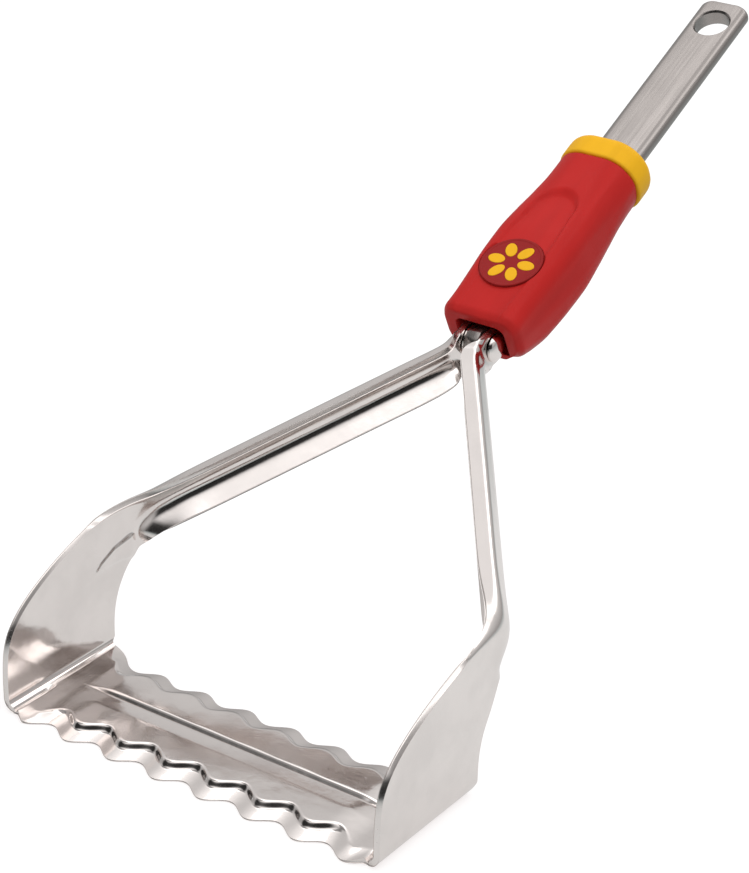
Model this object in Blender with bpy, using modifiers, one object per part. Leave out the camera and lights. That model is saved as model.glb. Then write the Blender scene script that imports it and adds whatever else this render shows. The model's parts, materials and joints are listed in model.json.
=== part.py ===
# Push-pull weeder head: a sheet-steel stirrup with a wavy double-edged blade, hinged on a rivet
# to a flat steel tang that carries a moulded sleeve, a collar and a round badge with six petals.
#
# Frame: +Z up. The blade lies along X and its cutting edges rest on Z = 0. The handle end leans
# away towards +Y. The origin is the centre of the bottom of the object's bounding box.
# Sizes below are in millimetres; MM turns them into metres.

import math

import bmesh
import bpy
import numpy as np
from mathutils import Matrix, Vector

MM = 0.001

# Stirrup, overall
HALF_WIDTH = 75.0        # middle of the blade to the outer face of a side plate
SHEET = 2.2              # thickness of the stirrup's sheet
CORNER_R = 2.7           # bend at the foot of a side plate, at mid thickness
FOOT = 5.0               # flat foot between that bend and the blade's end
JOIN_GAP = 0.3           # gap between touching pieces

# Blade
FRONT_Y = -34.9          # mean line of the front edge
REAR_Y = 10.7            # mean line of the rear edge
WAVE_PITCH = 18.33
FRONT_WAVE = 2.2         # half height of the waves of the front edge
REAR_WAVE = 1.8
FRONT_PHASE_X = -51.24   # where a front wave crosses its mean line
REAR_PHASE_X = -60.65
EDGE_THICK = 0.5         # what the ground edge is left with
BEVEL_WIDTH = 5.4        # ground bevel
BEVEL_TOP = 1.5
STEP_WIDTH = 1.9         # pressed step above the bevel
BLADE_TOP = 3.5          # top of the pressed middle
BLADE_SHEET = 2.0
CREASE_Y = -9.7          # pressed line along the blade, a little behind its middle
CREASE_DEPTH = 0.7
CREASE_HALF = 1.1
CREASE_SLOPE = 6.6       # width of the slope in front of the crease

# Side plates: outline from the foot up. Each row has the front edge as Y from the blade's front line
# and Z, the rear edge as Y from the blade's rear line and Z, and how far in the rear edge stands.
PLATE_ROWS = (
    ((0.0, 11.0), (7.5, 8.5), 0.0),
    ((0.3, 18.0), (7.8, 13.0), 0.0),
    ((1.7, 25.0), (8.8, 17.5), 0.0),
    ((5.9, 31.0), (10.4, 21.5), 0.0),
    ((11.9, 36.0), (12.6, 25.0), 0.0),
    ((20.5, 41.0), (14.8, 28.2), 0.2),
    ((30.6, 45.5), (17.2, 31.2), 0.7),
    ((41.4, 49.3), (19.9, 33.8), 1.5),
)
FOOT_REAR = 2.0          # how far the foot and the lower bend run past the rear waves
BEND_REAR = 3.7

# Arms
ARM_FRONT_FLANGE = 6.3
ARM_REAR_FLANGE = 7.8
ARM_SPLAY = 15.0                    # degrees by which the rear flange stands off square
ARM_WEB = 12.4
ARM_BEND_R = 2.2
ARM_MEET = 0.7           # half of the gap left between the arms' flanges at the top
ARM_START = (13.1, 45.1, 59.8)      # where the straight arm starts: X in from the side plate, Y, Z
ARM_TOP_X = 5.6                     # where it ends: X, and how far in front of and above the pivot
ARM_TOP_BACK = 11.8
ARM_TOP_UP = 1.8
ARM_ACROSS = (-0.14, -0.545, 0.827) # across the arm's web
ARM_TURN = 12.0                     # X in from the side plate at which the flanges have turned
# Shoulder between side plate and arm. Each row has the front and rear corner, with X in from the
# side plate, Y and Z, then the depths of the front and rear flange.
SHOULDER_ROWS = (
    ((0.3, 15.5, 51.4), (1.7, 33.4, 37.0), 3.2, 0.0),
    ((1.2, 25.0, 52.4), (1.9, 37.4, 41.1), 4.8, 1.0),
    ((3.2, 32.3, 53.3), (3.9, 41.8, 43.9), 5.8, 7.2),
    ((7.3, 38.9, 55.9), (7.1, 46.4, 46.6), ARM_FRONT_FLANGE, ARM_REAR_FLANGE),
)
# Neck between arm and ear: distance from the pivot, half width, X out from the ear's middle,
# and the front and rear flange as shares of the room up to the other arm.
NECK_ROWS = (
    (6.6, 6.2, 0.5, 0.6, 0.6),
    (4.6, 6.4, 0.1, 0.2, 0.2),
    (2.8, 6.6, 0.0, 0.0, 0.0),
)

# Pivot
PIVOT_Y = 126.5
PIVOT_Z = 94.5
TONGUE_HALF = 2.5        # half thickness of the tang's eye
WASHER_THICK = 0.8
WASHER_R = 5.6
EAR_R = 6.7
RIVET_R = 2.6
HOLE_CLEAR = 0.3         # radial play round the rivet and the bush
BUSH_WALL = 0.9
HEAD_R = 4.9
HEAD_HIGH = 2.2

# Tang
TANG_ANGLE = 26.02       # slope of the tang above the ground, degrees
TANG_WIDTH = 19.6
TANG_THICK = 6.6         # of the free bar
TANG_SEAT_THICK = 6.2    # of the bar inside sleeve and collar
TANG_SHOULDER = 0.4      # length of the slope between the two
TANG_LENGTH = 181.6      # pivot to rounded end
TANG_EDGE_R = 3.1        # the long edges are almost fully round
TANG_CORNER_R = 2.4
TANG_BOW = 0.8           # how far the end stands out in the middle
TANG_NECK = 14.0         # where the neck widens to the bar
EYE_R = 6.3
HANG_HOLE_R = 6.5
HANG_HOLE_AT = 12.2      # from the rounded end

# Sleeve and collar, measured along the tang from the pivot
SLEEVE_START = 2.0
SLEEVE_END = 83.3
COLLAR_LENGTH = 10.2
SLEEVE_SCALE_W = 1.0     # width factor
SLEEVE_SCALE_T = 1.0     # thickness factor
MOUTH_SIDE_CLEAR = 0.8   # room beside the rivet's heads in the mouth where the ears turn
MOUTH_FACE_CLEAR = 0.5   # room above and below the ears
MOUTH_CORNER_R = 3.0
MOUTH_END = 10.5
CHANNEL_CORNER_R = 0.8
SOCKET_CLEAR = 0.3       # tang in sleeve and collar
COLLAR_LIP = 0.5         # collar stands this proud of the sleeve

# Badge
BADGE_AT = 26.8
BADGE_R = 11.3
BADGE_THICK = 0.8
BADGE_SEAT = 0.3         # clearance under and round the badge
PETALS = 6
PETAL_AT = 5.9           # badge centre to the middle of a petal
PETAL_LONG = 6.4
PETAL_WIDE = 4.2
PETAL_THICK = 0.35
PETAL_SEAT = 0.1         # clearance under and round a petal

# Colours: red, green, blue, roughness, metallic
STEEL = (0.58, 0.55, 0.53, 0.16, 1.0)
TANG_STEEL = (0.50, 0.47, 0.45, 0.32, 1.0)
RED = (0.50, 0.022, 0.022, 0.38, 0.0)
YELLOW = (0.93, 0.50, 0.02, 0.40, 0.0)
DARK_RED = (0.36, 0.012, 0.014, 0.42, 0.0)


def clear_scene():
    for ob in list(bpy.data.objects):
        bpy.data.objects.remove(ob, do_unlink=True)


def new_collection(name):
    col = bpy.data.collections.new(name)
    bpy.context.scene.collection.children.link(col)
    return col


def material(name, spec):
    mat = bpy.data.materials.get(name)
    if mat is None:
        mat = bpy.data.materials.new(name)
        mat.use_nodes = True
        bsdf = mat.node_tree.nodes["Principled BSDF"]
        bsdf.inputs["Base Color"].default_value = (spec[0], spec[1], spec[2], 1.0)
        bsdf.inputs["Roughness"].default_value = spec[3]
        bsdf.inputs["Metallic"].default_value = spec[4]
    return mat


def add_mesh(name, verts, faces, col, parent=None, spec=None, mat_name=None):
    me = bpy.data.meshes.new(name)
    me.from_pydata([tuple(c * MM for c in v) for v in verts], [], faces)
    bm = bmesh.new()
    bm.from_mesh(me)
    bmesh.ops.recalc_face_normals(bm, faces=bm.faces)
    bm.to_mesh(me)
    bm.free()
    ob = bpy.data.objects.new(name, me)
    col.objects.link(ob)
    ob.parent = parent
    if spec is not None:
        me.materials.append(material(mat_name or name, spec))
    me.shade_smooth()
    me.set_sharp_from_angle(angle=math.radians(35))
    return ob


def grid_faces(rows, cols, close=False):
    faces = []
    for i in range(rows - 1):
        for j in range(cols if close else cols - 1):
            k = (j + 1) % cols
            faces.append((i * cols + j, i * cols + k, (i + 1) * cols + k, (i + 1) * cols + j))
    return faces


def loft(name, sections, col, parent, spec, mat_name=None):
    # closed sections of equal length, capped at both ends
    cols = len(sections[0])
    verts = [p for s in sections for p in s]
    faces = grid_faces(len(sections), cols, True)
    faces.append(tuple(range(cols)))
    faces.append(tuple(range((len(sections) - 1) * cols, len(sections) * cols)))
    return add_mesh(name, verts, faces, col, parent, spec, mat_name)


def cutter(ob):
    ob.hide_render = True
    ob.display_type = "WIRE"
    return ob


def cylinder(name, radius, half, axis, centre, col, parent, spec=None, mat_name=None, segments=40):
    bpy.ops.mesh.primitive_cylinder_add(vertices=segments, radius=radius * MM, depth=2 * half * MM)
    ob = bpy.context.object
    ob.name = name
    ob.data.name = name
    if axis == "X":
        ob.data.transform(Matrix.Rotation(math.radians(90), 4, "Y"))
    elif axis == "Y":
        ob.data.transform(Matrix.Rotation(math.radians(90), 4, "X"))
    ob.data.transform(Matrix.Translation(Vector(centre) * MM))
    for c in list(ob.users_collection):
        c.objects.unlink(ob)
    col.objects.link(ob)
    ob.parent = parent
    if spec is not None:
        ob.data.materials.append(material(mat_name or name, spec))
    ob.data.shade_smooth()
    ob.data.set_sharp_from_angle(angle=math.radians(35))
    return ob


def turned(name, profile, axis_x, col, parent, spec, mat_name=None, steps=40):
    # profile of (radius, x) pairs, closed, turned about the X axis through the parent's origin
    me = bpy.data.meshes.new(name)
    bm = bmesh.new()
    loop = [bm.verts.new((r * MM, 0.0, (x + axis_x) * MM)) for r, x in profile]
    for a, b in zip(loop, loop[1:] + loop[:1]):
        if not (a.co.x == 0.0 and b.co.x == 0.0):
            bm.edges.new((a, b))
    bm.to_mesh(me)
    bm.free()
    ob = bpy.data.objects.new(name, me)
    col.objects.link(ob)
    ob.parent = parent
    ob.rotation_euler = (0.0, math.radians(90), 0.0)
    m = ob.modifiers.new("turn", "SCREW")
    m.axis = "Z"
    m.steps = steps
    m.render_steps = steps
    m.use_merge_vertices = True
    m.merge_threshold = 0.00001
    m.use_smooth_shade = True
    me.materials.append(material(mat_name or name, spec))
    return ob


def boolean(ob, other, operation="DIFFERENCE"):
    m = ob.modifiers.new(operation.lower() + "_" + other.name, "BOOLEAN")
    m.operation = operation
    m.object = other
    m.solver = "EXACT"
    return m


def smooth_curve(xs, ys, x):
    # monotone cubic through (xs, ys), by finite differences
    xs, ys = np.asarray(xs, float), np.asarray(ys, float)
    h = np.diff(xs)
    d = np.diff(ys) / h
    m = np.empty(len(xs))
    m[0], m[-1] = d[0], d[-1]
    for i in range(1, len(xs) - 1):
        if d[i - 1] * d[i] <= 0:
            m[i] = 0.0
        else:
            w1, w2 = 2 * h[i] + h[i - 1], h[i] + 2 * h[i - 1]
            m[i] = (w1 + w2) / (w1 / d[i - 1] + w2 / d[i])
    x = np.clip(np.atleast_1d(np.asarray(x, float)), xs[0], xs[-1])
    k = np.clip(np.searchsorted(xs, x) - 1, 0, len(xs) - 2)
    t = (x - xs[k]) / h[k]
    return ((1 + 2 * t) * (1 - t) ** 2 * ys[k] + t * (1 - t) ** 2 * h[k] * m[k]
            + t * t * (3 - 2 * t) * ys[k + 1] + t * t * (t - 1) * h[k] * m[k + 1])


def rounded_path(points, radius, count):
    # polyline with its inner corners rounded, resampled to count points of equal spacing
    pts = [np.asarray(p, float) for p in points]
    path = [pts[0]]
    for a, b, c in zip(pts[:-2], pts[1:-1], pts[2:]):
        u, v = a - b, c - b
        lu, lv = np.linalg.norm(u), np.linalg.norm(v)
        if lu < 1e-6 or lv < 1e-6:
            path.append(b)
            continue
        u, v = u / lu, v / lv
        ang = math.acos(max(-1.0, min(1.0, float(u @ v))))
        cut = min(radius / math.tan(ang / 2), 0.48 * lu, 0.48 * lv)
        for t in np.linspace(0, 1, 9):
            p, q = b + u * cut * (1 - t), b + v * cut * t
            path.append(p * (1 - t) + q * t)
    path.append(pts[-1])
    path = np.array(path)
    seg = np.linalg.norm(np.diff(path, axis=0), axis=1)
    keep = np.concatenate([[True], seg > 1e-9])
    path = path[keep]
    s = np.concatenate([[0], np.cumsum(np.linalg.norm(np.diff(path, axis=0), axis=1))])
    want = np.linspace(0, s[-1], count)
    return np.stack([np.interp(want, s, path[:, k]) for k in range(3)], 1)


# Handle frame: local Y runs up the tang, local Z stands on its flat face
TILT = math.radians(TANG_ANGLE)
EAR_IN = TONGUE_HALF + WASHER_THICK + 2 * JOIN_GAP      # inner face of an ear
EAR_OUT = EAR_IN + SHEET
EAR_MID = EAR_IN + SHEET / 2
SHANK_HALF = EAR_OUT + JOIN_GAP                         # half length of the rivet between its heads
COLLAR_START = SLEEVE_END + JOIN_GAP
COLLAR_END = COLLAR_START + COLLAR_LENGTH
MOUTH_HALF_W = SHANK_HALF + HEAD_HIGH + MOUTH_SIDE_CLEAR
MOUTH_HALF_T = EAR_R + MOUTH_FACE_CLEAR
PLATE_X = HALF_WIDTH - SHEET / 2                        # mid thickness of a side plate
BLADE_END = PLATE_X - CORNER_R - FOOT                   # end of the blade strip


def side_stations():
    # Right-hand side of the stirrup from the blade's end to the ear, as rows across the sheet.
    # Each row: front corner, rear corner, the front and rear flange's directions and their depths.
    rows = []
    z0 = SHEET / 2
    rear = REAR_Y + REAR_WAVE
    inward = np.array([-1.0, 0.0, 0.0])
    # foot and lower bend
    foot_x = PLATE_X - CORNER_R
    foot_rear = rear + FOOT_REAR
    rows.append(((BLADE_END, FRONT_Y, z0), (BLADE_END, rear, z0), inward, inward, 0, 0))
    rows.append(((foot_x, FRONT_Y, z0), (foot_x, foot_rear, z0), inward, inward, 0, 0))
    for a in (30, 60, 90):
        r = math.radians(a)
        x = foot_x + CORNER_R * math.sin(r)
        z = z0 + CORNER_R * (1 - math.cos(r))
        rows.append(((x, FRONT_Y, z), (x, foot_rear + BEND_REAR * a / 90, z), inward, inward, 0, 0))
    for (cy, cz), (ry, rz), rx in PLATE_ROWS:
        rows.append(((PLATE_X, FRONT_Y + cy, cz), (PLATE_X - rx, REAR_Y + ry, rz), inward, inward, 0, 0))
    split = len(rows)
    # arm: a straight channel between the shoulder and the neck
    lo = np.array([PLATE_X - ARM_START[0], ARM_START[1], ARM_START[2]])
    hi = np.array([ARM_TOP_X, PIVOT_Y - ARM_TOP_BACK, PIVOT_Z + ARM_TOP_UP])
    d = (hi - lo) / np.linalg.norm(hi - lo)
    n = np.array(ARM_ACROSS)
    n -= d * float(n @ d)
    n /= np.linalg.norm(n)
    inn = np.cross(n, d)
    inn = inn if inn[0] < 0 else -inn
    splay = math.radians(ARM_SPLAY)
    tab = inn * math.cos(splay) - n * math.sin(splay)
    for (cx, cy, cz), (rx, ry, rz), ff, fr in SHOULDER_ROWS:
        t = min(1.0, cx / ARM_TURN)
        v = inward * (1 - t) + inn * t
        front, back = (PLATE_X - cx, cy, cz), (PLATE_X - rx, ry, rz)
        rows.append((front, back, v / np.linalg.norm(v), tab, ff, fr))
    for t in (0.0, 0.25, 0.5, 0.75, 0.9, 1.0):
        # near the top both flanges end where the two arms nearly meet
        c = lo * (1 - t) + hi * t
        r = c - n * ARM_WEB
        front = min(ARM_FRONT_FLANGE, (c[0] - ARM_MEET) / abs(inn[0]))
        back = min(ARM_REAR_FLANGE, (r[0] - ARM_MEET) / abs(tab[0]))
        rows.append((c, r, inn, tab, front, back))
    return rows, split, (hi, n)


def ear_rows(arm):
    hi, n = arm
    base = hi - n * ARM_WEB / 2
    piv = np.array([EAR_MID, PIVOT_Y, PIVOT_Z])
    run = piv - base
    run[0] = 0.0
    dist = float(np.linalg.norm(run))
    run /= dist
    across = np.array([0.0, -run[2], run[1]])
    inward = np.array([-1.0, 0.0, 0.0])
    rows = []
    for away, half, out, ff, fr in NECK_ROWS:
        c = piv - run * away
        c[0] = EAR_MID + out
        t = 1 - away / dist
        m = n * (1 - t) + across * t
        m /= np.linalg.norm(m)
        room = c[0] - ARM_MEET
        rows.append((c + m * half, c - m * half, inward, inward, ff * room, fr * room))
    for a in (-10, 6, 20, 34, 50, 66):
        r = math.radians(a)
        c = piv + run * EAR_R * math.sin(r)
        half = EAR_R * math.cos(r)
        rows.append((c + across * half, c - across * half, inward, inward, 0.0, 0.0))
    return rows


def sheet_surface(rows, count):
    out = []
    for c, r, front_way, rear_way, ff, fr in rows:
        c, r = np.array(c, float), np.array(r, float)
        pts = ([c + front_way * ff] if ff > 0 else []) + [c, r] + ([r + rear_way * fr] if fr > 0 else [])
        out.append(rounded_path(pts, ARM_BEND_R, count))
    return out


def refine_rows(surface, times):
    # more rows between the given ones, along smooth curves through them
    surface = np.array(surface)
    n = len(surface)
    t = np.arange(n, dtype=float)
    fine = np.linspace(0, n - 1, (n - 1) * times + 1)
    out = np.empty((len(fine),) + surface.shape[1:])
    for j in range(surface.shape[1]):
        for k in range(3):
            out[:, j, k] = smooth_curve(t, surface[:, j, k], fine)
    return out


def sheet_object(name, surface, side, col, parent, offset):
    rows, cols = len(surface), len(surface[0])
    verts = [(side * p[0] - offset[0], p[1] - offset[1], p[2] - offset[2]) for r in surface for p in r]
    faces = grid_faces(rows, cols)
    if side > 0:
        faces = [f[::-1] for f in faces]
    me = bpy.data.meshes.new(name)
    me.from_pydata([tuple(c * MM for c in v) for v in verts], [], faces)
    ob = bpy.data.objects.new(name, me)
    col.objects.link(ob)
    ob.parent = parent
    me.materials.append(material("bright_steel", STEEL))
    me.shade_smooth()
    me.set_sharp_from_angle(angle=math.radians(40))
    m = ob.modifiers.new("sheet", "SOLIDIFY")
    m.thickness = SHEET * MM
    m.offset = 0.0
    m.use_even_offset = False
    return ob


def half_space(name, point, slope, sign, col, parent):
    # large box on one side of the line where a side plate passes into its arm
    size = 4 * HALF_WIDTH
    bpy.ops.mesh.primitive_cube_add(size=size * MM)
    ob = bpy.context.object
    ob.name = name
    for c in list(ob.users_collection):
        c.objects.unlink(ob)
    col.objects.link(ob)
    ob.data.transform(Matrix.Translation((0, 0, sign * (size / 2 - JOIN_GAP / 2) * MM)))
    ob.data.transform(Matrix.Rotation(slope, 4, "X"))
    ob.data.transform(Matrix.Translation((0, point[1] * MM, point[2] * MM)))
    ob.parent = parent
    return cutter(ob)


def past_middle(name, side, col, parent):
    # large box over the other half, so that an arm ends half a gap before the middle
    size = 4 * HALF_WIDTH
    bpy.ops.mesh.primitive_cube_add(size=size * MM)
    ob = bpy.context.object
    ob.name = name
    for c in list(ob.users_collection):
        c.objects.unlink(ob)
    col.objects.link(ob)
    ob.data.transform(Matrix.Translation((side * (JOIN_GAP - size) / 2 * MM, 0, 0)))
    ob.parent = parent
    return cutter(ob)


def blade_object(col, parent, offset):
    end = BLADE_END - JOIN_GAP
    mid = CREASE_Y
    sections = []
    for x in np.linspace(-end, end, 8 * 12 + 1):
        wf = FRONT_WAVE * math.sin(2 * math.pi * (x - FRONT_PHASE_X) / WAVE_PITCH)
        wr = REAR_WAVE * math.sin(2 * math.pi * (x - REAR_PHASE_X) / WAVE_PITCH)
        f, r = FRONT_Y - wf, REAR_Y - wr
        top = [
            (f, EDGE_THICK), (f + BEVEL_WIDTH, BEVEL_TOP), (f + BEVEL_WIDTH + STEP_WIDTH, BLADE_TOP),
            (mid - CREASE_HALF - CREASE_SLOPE, BLADE_TOP),
            (mid - CREASE_HALF, BLADE_TOP - 0.5 * CREASE_DEPTH),
            (mid, BLADE_TOP - CREASE_DEPTH), (mid + CREASE_HALF, BLADE_TOP),
            (r - BEVEL_WIDTH - STEP_WIDTH, BLADE_TOP), (r - BEVEL_WIDTH, BEVEL_TOP), (r, EDGE_THICK),
        ]
        low = BLADE_TOP - BLADE_SHEET
        bottom = [
            (r, 0.0), (r - BEVEL_WIDTH + 1.0, 0.0), (r - BEVEL_WIDTH - STEP_WIDTH - 0.6, low),
            (mid, low - CREASE_DEPTH * 0.5),
            (f + BEVEL_WIDTH + STEP_WIDTH + 0.6, low), (f + BEVEL_WIDTH - 1.0, 0.0), (f, 0.0),
        ]
        sections.append([(x - offset[0], y - offset[1], z - offset[2]) for y, z in top + bottom])
    return loft("blade", sections, col, parent, STEEL, "bright_steel")


def rounded_section(half_w, half_t, radius, s, count=10, low=None):
    # rounded rectangle across the tang: local X is the width, local Z the thickness
    low = half_t if low is None else low
    radius = min(radius, half_w * 0.98, (half_t + low) * 0.49)
    pts = []
    for cx, cz, a0 in ((1, 1, 0), (-1, 1, 90), (-1, -1, 180), (1, -1, 270)):
        z = half_t - radius if cz > 0 else radius - low
        for k in range(count):
            a = math.radians(a0 + 90 * k / (count - 1))
            pts.append((cx * (half_w - radius) + radius * math.cos(a), s, z + radius * math.sin(a)))
    return pts


def sleeve_half(s):
    # half width, thickness above and below the axis, and corner radius, at distance s from the pivot
    ks = (0.0, 10.0, 20.0, 32.0, 42.0, 52.0, 62.0, 72.0, 80.0, 90.0)
    w = smooth_curve(ks, (15.1, 15.4, 16.0, 16.8, 17.1, 16.6, 16.0, 15.6, 15.7, 15.9), s)[0] * SLEEVE_SCALE_W
    t = smooth_curve(ks, (12.5, 12.8, 13.3, 13.9, 13.9, 13.5, 13.0, 12.9, 13.0, 13.1), s)[0] * SLEEVE_SCALE_T
    low = smooth_curve((0.0, 3.0, 7.0) + ks[1:], (5.2, 7.0, 9.0, 10.3, 12.8, 13.2, 13.2, 12.8, 12.4, 12.1, 11.9,
                                                  11.8), s)[0] * SLEEVE_SCALE_T
    r = smooth_curve(ks, (6.0, 6.0, 6.4, 7.0, 7.4, 8.0, 9.2, 10.6, 11.4, 11.8), s)[0]
    return w, t, low, r


def petal(name, turn, grow, low, high, col, parent, spec):
    # flat oval with its long axis along a radius of the badge
    outline = []
    for k in range(20):
        a = 2 * math.pi * k / 20
        u = PETAL_AT + (PETAL_LONG / 2 + grow) * math.cos(a)
        v = (PETAL_WIDE / 2 + grow) * math.sin(a)
        x, y = u * math.cos(turn) - v * math.sin(turn), u * math.sin(turn) + v * math.cos(turn)
        outline.append((x, BADGE_AT + y))
    sections = [[(x, y, z) for x, y in outline] for z in (low, high)]
    return loft(name, sections, col, parent, spec, "yellow_plastic")


def build():
    clear_scene()
    col = new_collection("push_pull_weeder")
    cut = new_collection("cutters")

    root = bpy.data.objects.new("weeder_root", None)
    col.objects.link(root)
    pivot = bpy.data.objects.new("pivot_axis", None)
    col.objects.link(pivot)
    pivot.parent = root
    pivot.location = Vector((0.0, PIVOT_Y, PIVOT_Z)) * MM
    handle = bpy.data.objects.new("handle_axis", None)
    col.objects.link(handle)
    handle.parent = root
    handle.location = Vector((0.0, PIVOT_Y, PIVOT_Z)) * MM
    handle.rotation_euler = (TILT, 0.0, 0.0)
    off = (0.0, PIVOT_Y, PIVOT_Z)

    # stirrup
    blade_object(col, pivot, off)
    rows, split, arm = side_stations()
    rows = rows + ear_rows(arm)
    surface = refine_rows(sheet_surface(rows, 15), 2)
    c, r = np.array(rows[split - 1][0]), np.array(rows[split - 1][1])
    slope = math.atan2(r[2] - c[2], r[1] - c[1])
    for side, tag in ((-1, "left"), (1, "right")):
        ob = sheet_object("side_plate_" + tag, surface, side, col, pivot, off)
        boolean(ob, half_space("above_plate_" + tag, c - off, slope, 1, cut, pivot))
        ob = sheet_object("arm_" + tag, surface, side, col, pivot, off)
        boolean(ob, half_space("below_arm_" + tag, c - off, slope, -1, cut, pivot))
        boolean(ob, past_middle("past_middle_" + tag, side, cut, pivot))
        hole = cutter(cylinder("ear_hole_" + tag, RIVET_R + HOLE_CLEAR, 4.0, "X",
                               (side * EAR_MID, 0, 0), cut, pivot))
        boolean(ob, hole)

    # pivot: rivet, washers and bush
    dome = ((0.0, 1.0), (0.45, 0.94), (0.8, 0.66), (1.0, 0.2), (1.0, 0.0))
    head = [(HEAD_R * r, SHANK_HALF + HEAD_HIGH * x) for r, x in dome] + [(RIVET_R, SHANK_HALF)]
    tail = [(r, -x) for r, x in reversed(head)]
    turned("pivot_rivet", head + tail, 0.0, col, pivot, STEEL, "bright_steel")
    for side, tag in ((-1, "left"), (1, "right")):
        a, b = TONGUE_HALF + JOIN_GAP, TONGUE_HALF + JOIN_GAP + WASHER_THICK
        prof = [(WASHER_R, b), (WASHER_R, a), (RIVET_R + HOLE_CLEAR, a), (RIVET_R + HOLE_CLEAR, b)]
        if side < 0:
            prof = [(r, -x) for r, x in reversed(prof)]
        turned("washer_" + tag, prof, 0.0, col, pivot, STEEL, "bright_steel")
    bush_in = RIVET_R + HOLE_CLEAR
    bush_out = bush_in + BUSH_WALL
    half = TONGUE_HALF
    prof = [(bush_out, half), (bush_out, -half), (bush_in, -half), (bush_in, half)]
    turned("pivot_bush", prof, 0.0, col, handle, TANG_STEEL, "satin_steel")

    # tang: a loft of flat oval sections with neck, shoulder, straight bar and bowed end, and an eye
    half = TANG_WIDTH / 2
    bar = COLLAR_END + JOIN_GAP
    widths = [(TANG_NECK - 10.0, TONGUE_HALF), (TANG_NECK - 4.0, TONGUE_HALF), (TANG_NECK + 2.0, half),
              (bar, half), (bar + TANG_SHOULDER, half), (TANG_LENGTH - TANG_BOW - TANG_CORNER_R, half)]
    for a in (25, 50, 70, 85):
        r = math.radians(a)
        widths.append((TANG_LENGTH - TANG_BOW - TANG_CORNER_R * (1 - math.sin(r)),
                       half - TANG_CORNER_R * (1 - math.cos(r))))
    widths += [(TANG_LENGTH - 0.45 * TANG_BOW, 0.5 * half), (TANG_LENGTH, 0.18 * half)]
    secs = []
    for s, w in widths:
        thick = TANG_SEAT_THICK if s <= bar else TANG_THICK
        secs.append(rounded_section(w, thick / 2, min(TANG_EDGE_R, w - 0.1), s, 7))
    tang = loft("tang", secs, col, handle, TANG_STEEL, "satin_steel")
    reach = MOUTH_END - 1.0
    side = []
    for k in range(16):
        a = math.radians(90 + 180 * k / 15)
        side.append((EYE_R * math.cos(a), EYE_R * math.sin(a)))
    side = side + [(reach, -TANG_SEAT_THICK / 2), (reach, TANG_SEAT_THICK / 2)]
    secs = [[(x, y, z) for y, z in side] for x in (-TONGUE_HALF, TONGUE_HALF)]
    eye_ob = loft("tang_eye", secs, cut, handle, TANG_STEEL, "satin_steel")
    cutter(eye_ob)
    boolean(tang, eye_ob, "UNION")
    boolean(tang, cutter(cylinder("tang_eye_hole", bush_out + HOLE_CLEAR, 12.0, "X", (0, 0, 0), cut, handle)))
    boolean(tang, cutter(cylinder("tang_hang_hole", HANG_HOLE_R, TANG_THICK, "Z",
                                  (0, TANG_LENGTH - HANG_HOLE_AT, 0), cut, handle)))

    # sleeve: loft with rounded front end, mouth and tang channel
    ss = [SLEEVE_START, SLEEVE_START + 0.8, SLEEVE_START + 2.0]
    ss += list(np.linspace(SLEEVE_START + 4.0, SLEEVE_END - 4.0, 15)) + [SLEEVE_END]
    secs = []
    for i, s in enumerate(ss):
        w, t, low, r = sleeve_half(s)
        inset = (1.6, 0.5, 0.0)[i] if i < 3 else 0.0
        secs.append(rounded_section(w - inset, t - inset, r - 0.5 * inset, s, 10, low - inset))
    sleeve = loft("sleeve", secs, col, handle, RED, "red_plastic")
    ends = (SLEEVE_START - 5, MOUTH_END)
    secs = [rounded_section(MOUTH_HALF_W, MOUTH_HALF_T, MOUTH_CORNER_R, s, 6) for s in ends]
    mouth = loft("sleeve_mouth", secs, cut, handle, RED)
    cutter(mouth)
    boolean(sleeve, mouth)
    chan_w, chan_t = TANG_WIDTH / 2 + SOCKET_CLEAR, TANG_SEAT_THICK / 2 + SOCKET_CLEAR
    ends = (MOUTH_END - 2, COLLAR_END + COLLAR_LENGTH)
    secs = [rounded_section(chan_w, chan_t, CHANNEL_CORNER_R, s, 4) for s in ends]
    channel = loft("tang_channel", secs, cut, handle, RED)
    cutter(channel)
    boolean(sleeve, channel)
    seat_z = sleeve_half(BADGE_AT)[1] - BADGE_THICK - BADGE_SEAT
    boolean(sleeve, cutter(cylinder("badge_seat", BADGE_R + BADGE_SEAT, 2.0, "Z",
                                    (0, BADGE_AT, seat_z + 2.0), cut, handle, segments=48)))

    # collar: a ring behind the sleeve
    a, b = COLLAR_START, COLLAR_END
    w, t, low, r = (v + COLLAR_LIP for v in sleeve_half(SLEEVE_END))
    prof = ((a, 0.4), (a + 0.5, 0.0), (b - 2.6, 0.1), (b - 1.2, 0.5), (b - 0.4, 1.1), (b, 1.9))
    secs = [rounded_section(w - q, t - q, r - q, s, 10, low - q) for s, q in prof]
    collar = loft("collar", secs, col, handle, YELLOW, "yellow_plastic")
    boolean(collar, channel)

    # badge: disc in its seat, with petals laid in shallow recesses
    top = seat_z + BADGE_SEAT + BADGE_THICK
    disc = cylinder("badge_disc", BADGE_R, BADGE_THICK / 2, "Z", (0, BADGE_AT, top - BADGE_THICK / 2),
                    col, handle, DARK_RED, "dark_red_plastic", 56)
    for k in range(PETALS):
        turn = 2 * math.pi * k / PETALS
        low = top - PETAL_THICK
        petal("badge_petal_%d" % (k + 1), turn, 0.0, low, top, col, handle, YELLOW)
        bed = low - PETAL_SEAT
        recess = petal("petal_recess_%d" % (k + 1), turn, PETAL_SEAT, bed, top + 1.0, cut, handle, None)
        boolean(disc, cutter(recess))

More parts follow.
